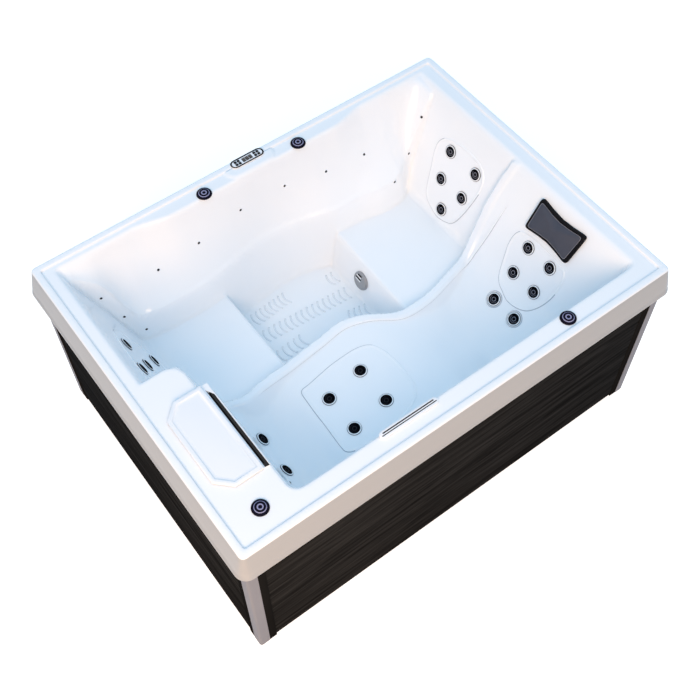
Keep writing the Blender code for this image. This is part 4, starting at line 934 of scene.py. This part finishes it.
# The pillow is skinned foam with a dark border, waisted along its long sides, pressed
# on its flat seat at the head of the lounger.
pillow_skin = {"grain": (900, 0.0002), "cloud_scale": 14, "spread": 0.1}
pillow_slate = moulded(
    "pillow_slate", (0.06, 0.067, 0.09), (0.07, 0.077, 0.1), 0.62, **pillow_skin, specular=0.12
)
pillow_border = moulded(
    "pillow_border", (0.0035, 0.0035, 0.005), (0.006, 0.006, 0.008), 0.55, **pillow_skin, specular=0.08
)
stitch_grey = moulded("stitch_grey", (0.2, 0.21, 0.25), (0.26, 0.27, 0.31), 0.6, (900, 0.0002), 60)
# Its outline is a rectangle with soft corners, with the places spread evenly round it
pillow_steps, fine_steps, corner_power = 144, 4000, 0.14
turns = np.linspace(0, 2 * math.pi, fine_steps + 1)
edge = np.stack([np.cos(turns), np.sin(turns)], 1)
edge = np.sign(edge) * np.abs(edge) ** corner_power
walked = np.cumsum(np.hypot(*np.diff(edge * (pillow_length, pillow_height), axis=0).T))
marks = np.interp(
    np.arange(pillow_steps) / pillow_steps * walked[-1], walked, np.arange(1, fine_steps + 1)
)
pillow_outline = edge[marks.astype(int)].tolist()
waist_depth, end_flare, bulge, border_width = 0.22, 0.055, 0.005, 0.015


def pillow_edge(reach, inset, step, height):
    """A place on the pillow: wider at its top edge, with long sides that draw in at the middle."""
    across, along = pillow_outline[step]
    flare = 1 + (end_flare * along if across > 0 else 0.0)
    waist = 1 - waist_depth * (1 - abs(across) ** 1.5)
    half_across = (pillow_length / 2 + bulge) * flare - inset
    half_along = (pillow_height / 2 + bulge) * waist - inset
    return (across * half_across * reach, along * half_along * reach, height)


pillow_rings = [
    (share, border_width, pillow_depth * (0.53 + 0.47 * (1 - share**2)), 0)
    for share in (0.12, 0.3, 0.48, 0.64, 0.77, 0.87, 0.94, 0.985)
]
pillow_rings += [(1.0, inset, pillow_depth * rise, slot) for inset, rise, slot in (
    (border_width, 0.52, 2), (0.0134, 0.52, 1), (0.0124, 0.49, 1), (0.01, 0.54, 1), (0.006, 0.54, 1),
    (0.002, 0.45, 1), (0.0, 0.28, 1),
)]
pillow_rings.append((0.995, 0.0, 0.0006, 1))
pillow_form = bmesh.new()
crown = pillow_form.verts.new((0, 0, pillow_depth))
rows = [
    [pillow_form.verts.new(pillow_edge(reach, inset, step, height)) for step in range(pillow_steps)]
    for reach, inset, height, slot in pillow_rings
]
back = pillow_form.verts.new((0, 0, 0.0006))
for step in range(pillow_steps):
    after = (step + 1) % pillow_steps
    pillow_form.faces.new((crown, rows[0][step], rows[0][after]))
    pillow_form.faces.new((back, rows[-1][after], rows[-1][step])).material_index = 1
    for (inner, outer), (reach, inset, height, slot) in zip(zip(rows, rows[1:]), pillow_rings):
        face = pillow_form.faces.new((inner[step], outer[step], outer[after], inner[after]))
        face.material_index = slot
pillow_form.transform(standing(*pillow_place))
head_cushion = shown(
    "head_cushion", as_mesh("head_cushion", pillow_form), pillow_slate, pillow_border, stitch_grey
)
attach(head_cushion, "tub")
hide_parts("head_pillow")

# The filter lid lifts off by hand. It has a raised border with two cut corners round a
# sunken panel, and a skirt that drops into the skimmer's housing.
white_trim = moulded("white_trim", (0.84, 0.885, 0.93), (0.86, 0.9, 0.94), 0.3, (300, 0.0001), coat=0.15)
lid_low, lid_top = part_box("filter_lid")[0][2] + 0.0103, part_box("filter_lid")[1][2]
lid_steps = [
    (0.0215, lid_low - 0.01), (0.0215, lid_low), (0.0012, lid_low), (0.0, lid_low + 0.0012),
    (0.0, lid_top - 0.0024), (0.0009, lid_top - 0.0008), (0.0026, lid_top), (0.015, lid_top),
    (0.0166, lid_top - 0.0006), (0.0184, lid_top - 0.003), (0.02, lid_top - 0.0036),
    (0.03, lid_top - 0.0034), (0.042, lid_top - 0.0026),
]
lid = shown("filter_lid_cover", lofted("filter_lid_cover", [
    (filter_outline(inset, lid_right - inset), height, 0) for inset, height in lid_steps
]), white_trim)
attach(lid, "filter_lid")
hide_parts("filter_lid")

# The skimmer's housing is black moulded plastic behind the narrow mouth. The mouth has a
# white lip, and a grey flap in it that the water tips over.
housing_black = moulded(
    "housing_black", (0.006, 0.006, 0.007), (0.011, 0.011, 0.012), 0.45, (260, 0.0002), specular=0.3
)
frame["nodes"]["skimmer_housing"].material_slots[0].material = housing_black
mouth_outline = [(-0.7596, -0.517), (-0.7408, -0.52), (-0.7408, -0.158), (-0.7596, -0.123)]
lip_outline = [
    (lid_right - 0.0003, lid_front + 0.001), (-0.738, lid_front + 0.001),
    (-0.738, lid_back - 0.001), (lid_right - 0.0003, lid_back - 0.001),
]
mouth_rows = [
    (lip_outline, deck_level - 0.004), (lip_outline, deck_level + 0.004),
    (mouth_outline, deck_level + 0.004), (mouth_outline, deck_level - 0.01),
]
mouth_form = bmesh.new()
rows = [[mouth_form.verts.new((x, y, height)) for x, y in outline] for outline, height in mouth_rows]
for low, high in zip(rows, rows[1:] + rows[:1]):
    for i in range(4):
        mouth_form.faces.new((low[i], low[(i + 1) % 4], high[(i + 1) % 4], high[i]))
mouth_lip = shown("mouth_lip", as_mesh("mouth_lip", mouth_form), white_trim)
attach(mouth_lip, "tub")
flap_grey = moulded("flap_grey", (0.3, 0.31, 0.33), (0.34, 0.35, 0.37), 0.35, (300, 0.0001))
frame["nodes"]["weir_flap"].material_slots[0].material = flap_grey

# The cartridge stands in the housing: white fleece in deep pleats under a moulded blue
# cap, with a grip on the cap to turn it by.
fleece = moulded("filter_fleece", (0.78, 0.8, 0.83), (0.7, 0.73, 0.78), 0.9, (700, 0.0004), 20, specular=0.1)
cap_blue = moulded("cartridge_cap", (0.05, 0.12, 0.25), (0.07, 0.15, 0.29), 0.4, (300, 0.0001))
cartridge_place = joint_places["filter_cartridge"][0]
cartridge_low, cartridge_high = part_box("filter_cartridge")[0][2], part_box("filter_cartridge")[1][2]
cartridge_body = cartridge_high - 0.032
pleat_count = 44


def pleats(depth):
    outline = []
    for step in range(pleat_count * 2):
        angle, radius = math.pi * step / pleat_count, 0.0612 - depth * (step % 2)
        outline.append((
            cartridge_place.x + radius * math.cos(angle), cartridge_place.y + radius * math.sin(angle)
        ))
    return outline


pleat_rows = [(0.011, cartridge_low), (0.011, cartridge_body)]
cartridge = shown(
    "pleated_cartridge",
    lofted("pleated_cartridge", [(pleats(depth), height, 0) for depth, height in pleat_rows]), fleece,
)
cap_profile = [
    (0, 0.032, 0), (0.015, 0.032, 0), (0.016, 0.031, 0), (0.016, 0.012, 0), (0.0175, 0.0102, 0),
    (0.06, 0.01, 0), (0.0618, 0.0085, 0), (0.062, -0.01, 0), (0, -0.01, 0),
]
cap_place = Matrix.Translation((cartridge_place.x, cartridge_place.y, cartridge_body))
cartridge_cap = shown("cartridge_cap", as_mesh("cartridge_cap", lathe(cap_profile, 40, cap_place)), cap_blue)
for piece in (cartridge, cartridge_cap):
    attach(piece, "filter_cartridge")
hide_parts("filter_cartridge")

# The waterfall spout is a flat bar with round ends on the front edge of the basin. Water
# leaves it in a sheet through one broad slot and one fine one.
slot_black = moulded("slot_black", (0.004, 0.004, 0.005), (0.008, 0.008, 0.01), 0.5, specular=0.2)
spout_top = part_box("waterfall_spout")[1][2]
spout = shown("spout_bar", lofted("spout_bar", [
    (stadium(long_size, short_size, (spout_x, spout_y)), height, 0) for long_size, short_size, height in (
        (0.2664, 0.0304, deck_level + 0.0003), (0.268, 0.032, deck_level + 0.0012),
        (0.268, 0.032, spout_top - 0.003), (0.2668, 0.0308, spout_top - 0.001),
        (0.264, 0.028, spout_top),
    )
]), white_trim)
spout_slots = [(0.0046, 0.0056, 0.236), (-0.0044, 0.0042, 0.252)]
for number, (slot_y, slot_width, slot_length) in enumerate(spout_slots, 1):
    place = (spout_x, spout_y + slot_y)
    groove = shown(f"spout_groove_{number}", outline_plate(
        "groove", stadium(slot_length, slot_width, place), spout_top - 0.006, spout_top + 0.02
    ))
    opened = spout.modifiers.new(groove.name, "BOOLEAN")
    opened.operation, opened.object, opened.solver = "DIFFERENCE", groove, "MANIFOLD"
    dark = shown(f"spout_slot_{number}", outline_plate(
        "slot", stadium(slot_length - 0.0004, slot_width - 0.0004, place),
        spout_top - 0.0062, spout_top - 0.0007,
    ), slot_black)
    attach(dark, "tub")
spout = settled(spout, 40)
for number in (1, 2):
    bpy.data.objects.remove(bpy.data.objects[f"spout_groove_{number}"], do_unlink=True)
tail_profile = [(0, 0, 0), (0.009, 0, 0), (0.009, -0.03, 0), (0, -0.03, 0)]
tail_place = Matrix.Translation((spout_x, tail_y, deck_level + 0.0004))
spout_tail = shown("spout_tail", as_mesh("spout_tail", lathe(tail_profile, 24, tail_place)), white_trim)
for piece in (spout, spout_tail):
    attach(piece, "tub")
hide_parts("waterfall_spout")

# The control panel: a white slot-shaped face with a black line round it, three dark
# cells of display in the middle and four black keys on each side.
panel_low, panel_top = rim_level + 0.0003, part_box("control_panel")[1][2]
panel_middle = (0, (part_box("display_window")[0][1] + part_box("display_window")[1][1]) / 2)
panel_loops = [
    (0.0016, panel_low, 0), (0.0, panel_low + 0.0014, 0), (0.0, panel_top - 0.002, 0),
    (0.0008, panel_top - 0.0004, 0), (0.0012, panel_top, 0), (0.0014, panel_top, 0),
    (0.0016, panel_top - 0.0003, 1), (0.016, panel_top - 0.0003, 1), (0.0164, panel_top, 0),
]
panel_face = shown("panel_face", lofted("panel_face", [
    (stadium(0.165 - inset, 0.048 - inset, panel_middle), height, slot)
    for inset, height, slot in panel_loops
]), white_trim, slot_black)
key_names = [f"button_{number}" for number in range(1, 9)]
key_places = {name: [(a + b) / 2 for a, b in zip(*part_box(name))][:2] for name in key_names}
for key_name, middle in key_places.items():
    well = shown(key_name + "_well", outline_plate(
        "well", rounded_box(0.0126, 0.0126, 0.0022, middle), panel_top - 0.0045, panel_top + 0.02
    ))
    opened = panel_face.modifiers.new(well.name, "BOOLEAN")
    opened.operation, opened.object, opened.solver = "DIFFERENCE", well, "MANIFOLD"
panel_face = settled(panel_face, 40)
button_black = moulded("button_black", (0.004, 0.004, 0.006), (0.008, 0.008, 0.01), 0.45, specular=0.12)
for key_name, middle in key_places.items():
    bpy.data.objects.remove(bpy.data.objects[key_name + "_well"], do_unlink=True)
    key_low, key_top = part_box(key_name)[0][2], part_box(key_name)[1][2]
    key = shown(key_name + "_key", lofted(key_name, [
        (rounded_box(size, size, radius, middle), height, 0) for size, radius, height in (
            (0.012, 0.002, key_low), (0.012, 0.002, key_top - 0.001),
            (0.0114, 0.0018, key_top - 0.0002), (0.0098, 0.0014, key_top),
        )
    ]), button_black)
    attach(key, key_name)
    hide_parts(key_name)
panel_body = shown("panel_body", outline_plate(
    "panel_body", [(-0.06, 0.714), (0.06, 0.714), (0.06, 0.731), (-0.06, 0.731)],
    rim_level - 0.011, panel_low + 0.0002,
), housing_black)
for piece in (panel_face, panel_body):
    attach(piece, "tub")
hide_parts("control_panel")
display_glass = moulded("display_glass", (0.003, 0.003, 0.006), (0.005, 0.005, 0.009), 0.08, coat=0.4)
display_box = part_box("display_window")
cell_pitch = (display_box[1][0] - display_box[0][0]) / 3
for number in (-1, 0, 1):
    middle = (number * cell_pitch, panel_middle[1])
    cell = shown(f"display_cell_{number + 2}", lofted("display_cell", [
        (rounded_box(cell_pitch - 0.001, 0.0236, 0.0012, middle), display_box[0][2], 0),
        (rounded_box(cell_pitch - 0.001, 0.0236, 0.0012, middle), display_box[1][2] - 0.0004, 0),
        (rounded_box(cell_pitch - 0.0024, 0.0228, 0.001, middle), display_box[1][2], 0),
    ]), display_glass)
    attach(cell, "tub")
    if number == 0:
        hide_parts("display_window")

# The cabinet: dark boards with a faint wood grain that runs along them, a stile at each
# end, and a smooth grey cover on each corner.
board_surface = node_group("board_surface", "Shader", {
    "Dark Colour": ("Color", (0.006, 0.005, 0.005, 1)), "Pale Colour": ("Color", (0.02, 0.017, 0.015, 1)),
    "Grain Stretch": ("Vector", (2.2, 2.2, 46.0)), "Grain Depth": ("Float", 0.0004),
    "Roughness": ("Float", 0.62),
}, surface_outputs, {
    "place": ("ShaderNodeTexCoord", {}),
    "stretch": ("ShaderNodeVectorMath", {"operation": "MULTIPLY"}),
    "streaks": ("ShaderNodeTexNoise", {"Scale": 1.0, "Detail": 6, "Roughness": 0.65, "Distortion": 0.6}),
    "ramp": ("ShaderNodeValToRGB", {}),
    "mix": ("ShaderNodeMix", {"data_type": "RGBA"}),
    "spread": ("ShaderNodeMath", {"operation": "MULTIPLY_ADD", 1: -0.12}),
    "bump": ("ShaderNodeBump", {}),
}, """
    place.Object > stretch.0, given.Grain Stretch > stretch.1, stretch.Vector > streaks.Vector
    streaks.Fac > ramp.Fac, ramp.Color > mix.Factor
    given.Dark Colour > mix.6, given.Pale Colour > mix.7, mix.2 > result.Colour
    streaks.Fac > spread.0, given.Roughness > spread.2, spread.Value > result.Roughness
    ramp.Color > bump.Height, given.Grain Depth > bump.Distance, bump.Normal > result.Normal
""")
for stop, position in zip(board_surface.nodes["ramp"].color_ramp.elements, (0.36, 0.7)):
    stop.position = position
cabinet_board = finished("cabinet_board", board_surface, {
    "Dark Colour": (0.01, 0.0107, 0.0113, 1), "Pale Colour": (0.0365, 0.0385, 0.04, 1), "Roughness": 0.85,
}, specular=0.0)
stile_board = moulded(
    "stile_board", (0.0115, 0.0118, 0.012), (0.0157, 0.0162, 0.0165), 0.85, (500, 0.0001), specular=0.0
)
board_low, board_gap, stile_low = 0.012, 0.0006, 0.0003
stile_proud, stile_width, board_depth = 0.003, 0.034, 0.012
for side, turn in (("front", 0), ("right", 90), ("back", 180), ("left", 270)):
    low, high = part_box(side + "_panel")
    along, outward = (0, 1) if side in ("front", "back") else (1, 0)
    half_span = -low[along]
    inner = half_span - stile_width
    face = max(abs(low[outward]), abs(high[outward])) - stile_proud
    for label, left, right, bottom, top, proud, material in (
        ("boards", -inner, inner, board_low, high.z - board_gap, 0.0, cabinet_board),
        ("stile_1", -half_span, -inner, stile_low, high.z, stile_proud, stile_board),
        ("stile_2", inner, half_span, stile_low, high.z, stile_proud, stile_board),
    ):
        form = bmesh.new()
        size = Vector((right - left, board_depth + proud, top - bottom))
        middle = Vector(((left + right) / 2, -face - proud + size.y / 2, (bottom + top) / 2))
        bmesh.ops.create_cube(form, size=1.0, matrix=Matrix.Translation(middle) @ Matrix.Diagonal((*size, 1)))
        bmesh.ops.bevel(form, geom=form.edges[:], offset=0.0015, segments=2, affect="EDGES", profile=0.5)
        form.transform(Matrix.Rotation(math.radians(turn), 4, "Z"))
        piece = shown(f"{side}_{label}", as_mesh(f"{side}_{label}", form), material)
        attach(piece, "tub")
        if label == "boards":
            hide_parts(side + "_panel")
post_grey = moulded(
    "post_grey", (0.245, 0.265, 0.315), (0.285, 0.305, 0.355), 0.55, (300, 0.0001), specular=0.12
)
for node in frame["nodes"]:
    if node.startswith("corner_post"):
        frame["nodes"][node].material_slots[0].material = post_grey

# The works inside the cabinet: a galvanised frame, the pump with its painted motor, grey
# plastic pipe, the control pack with its heater tube, and the pan that they stand in.
galvanised = moulded(
    "galvanised", (0.42, 0.43, 0.44), (0.52, 0.53, 0.54), 0.4, (500, 0.0002), 30, metallic=0.9
)
pump_paint = moulded("pump_paint", (0.02, 0.022, 0.026), (0.03, 0.032, 0.036), 0.38, (350, 0.0002), 12)
pipe_white = moulded("pipe_white", (0.7, 0.71, 0.73), (0.76, 0.77, 0.79), 0.35, (300, 0.0001))
pack_grey = moulded("pack_grey", (0.16, 0.165, 0.175), (0.2, 0.205, 0.215), 0.5, (600, 0.0003), 8)
pan_black = moulded("pan_black", (0.012, 0.012, 0.013), (0.02, 0.02, 0.021), 0.6, (200, 0.0004), 6)
for node, material in (
    ("support_frame", galvanised), ("jet_pump", pump_paint), ("suction_pipe", pipe_white),
    ("return_pipe", pipe_white), ("control_pack", pack_grey), ("base_pan", pan_black),
):
    frame["nodes"][node].material_slots[0].material = material

# The studio: a floor that shows white to the camera and keeps the tub's shadow, but
# throws warm light back on the tub's sides, and one broad warm light from the front left
# that reaches the back wall and both reclined seat backs under a blue sky.
looked_at = {
    "path": ("ShaderNodeLightPath", {}),
    "gloss": ("ShaderNodeMath", {"operation": "ADD", "use_clamp": True}),
    "glass": ("ShaderNodeMath", {"operation": "ADD", "use_clamp": True}),
}
looked_at_joints = """
    path.Is Camera Ray > gloss.0, path.Is Glossy Ray > gloss.1
    gloss.Value > glass.0, path.Is Transmission Ray > glass.1
"""
floor_white = bpy.data.materials.new("floor_white")
floor_white.use_nodes = True
floor_white.node_tree.nodes.clear()
wire(floor_white.node_tree, {
    "neutral": ("ShaderNodeBsdfDiffuse", {"Color": (0.8, 0.78, 0.76, 1)}),
    "warm": ("ShaderNodeBsdfDiffuse", {"Color": (0.62, 0.5, 0.42, 1)}),
    "glow": ("ShaderNodeEmission", {"Color": (1, 0.99, 0.98, 1), "Strength": 0.62}),
    "lit": ("ShaderNodeAddShader", {}),
    "either": ("ShaderNodeMixShader", {}),
    "output": ("ShaderNodeOutputMaterial", {}),
    **looked_at,
}, looked_at_joints + """
    neutral.BSDF > lit.0, glow.Emission > lit.1
    glass.Value > either.Fac, warm.BSDF > either.1, lit.Shader > either.2, either.Shader > output.Surface
""")
floor_form = bmesh.new()
bmesh.ops.create_grid(floor_form, x_segments=1, y_segments=1, size=30)
studio_floor = shown("studio_floor", as_mesh("studio_floor", floor_form, crease=0), floor_white)
# The sky is blue overhead, and dim and warm towards the horizon. The camera sees it white
world = bpy.data.worlds.new("studio_sky")
scene.world = world
world.use_nodes = True
wire(world.node_tree, {
    "towards": ("ShaderNodeTexCoord", {}),
    "split": ("ShaderNodeSeparateXYZ", {}),
    "fade": ("ShaderNodeMapRange", {"From Max": 0.75}),
    "tint": ("ShaderNodeMix", {"data_type": "RGBA", 6: (0.26, 0.24, 0.24, 1), 7: (0.51, 0.79, 1.055, 1)}),
    "sky": ("Background", {"Strength": 1.0}),
    "seen": ("ShaderNodeBackground", {"Color": (1, 1, 1, 1)}),
    "choice": ("ShaderNodeMixShader", {}),
    "output": ("World Output", {}),
    **looked_at,
}, looked_at_joints + """
    towards.Generated > split.Vector, split.Z > fade.Value, fade.Result > tint.Factor, tint.2 > sky.Color
    glass.Value > choice.Fac, sky.Background > choice.1, seen.Background > choice.2
    choice.Shader > output.Surface
""")
softbox = bpy.data.lights.new("front_softbox", "AREA")
softbox.shape, softbox.size, softbox.energy, softbox.color = "DISK", 5.0, 385, (1.0, 0.615, 0.34)
light = bpy.data.objects.new("front_softbox", softbox)
light.location = (-3.55, -4.3, 4.0)
light.rotation_euler = (Vector((0, 0, 0.5)) - light.location).to_track_quat("-Z", "Y").to_euler()
scene.collection.objects.link(light)
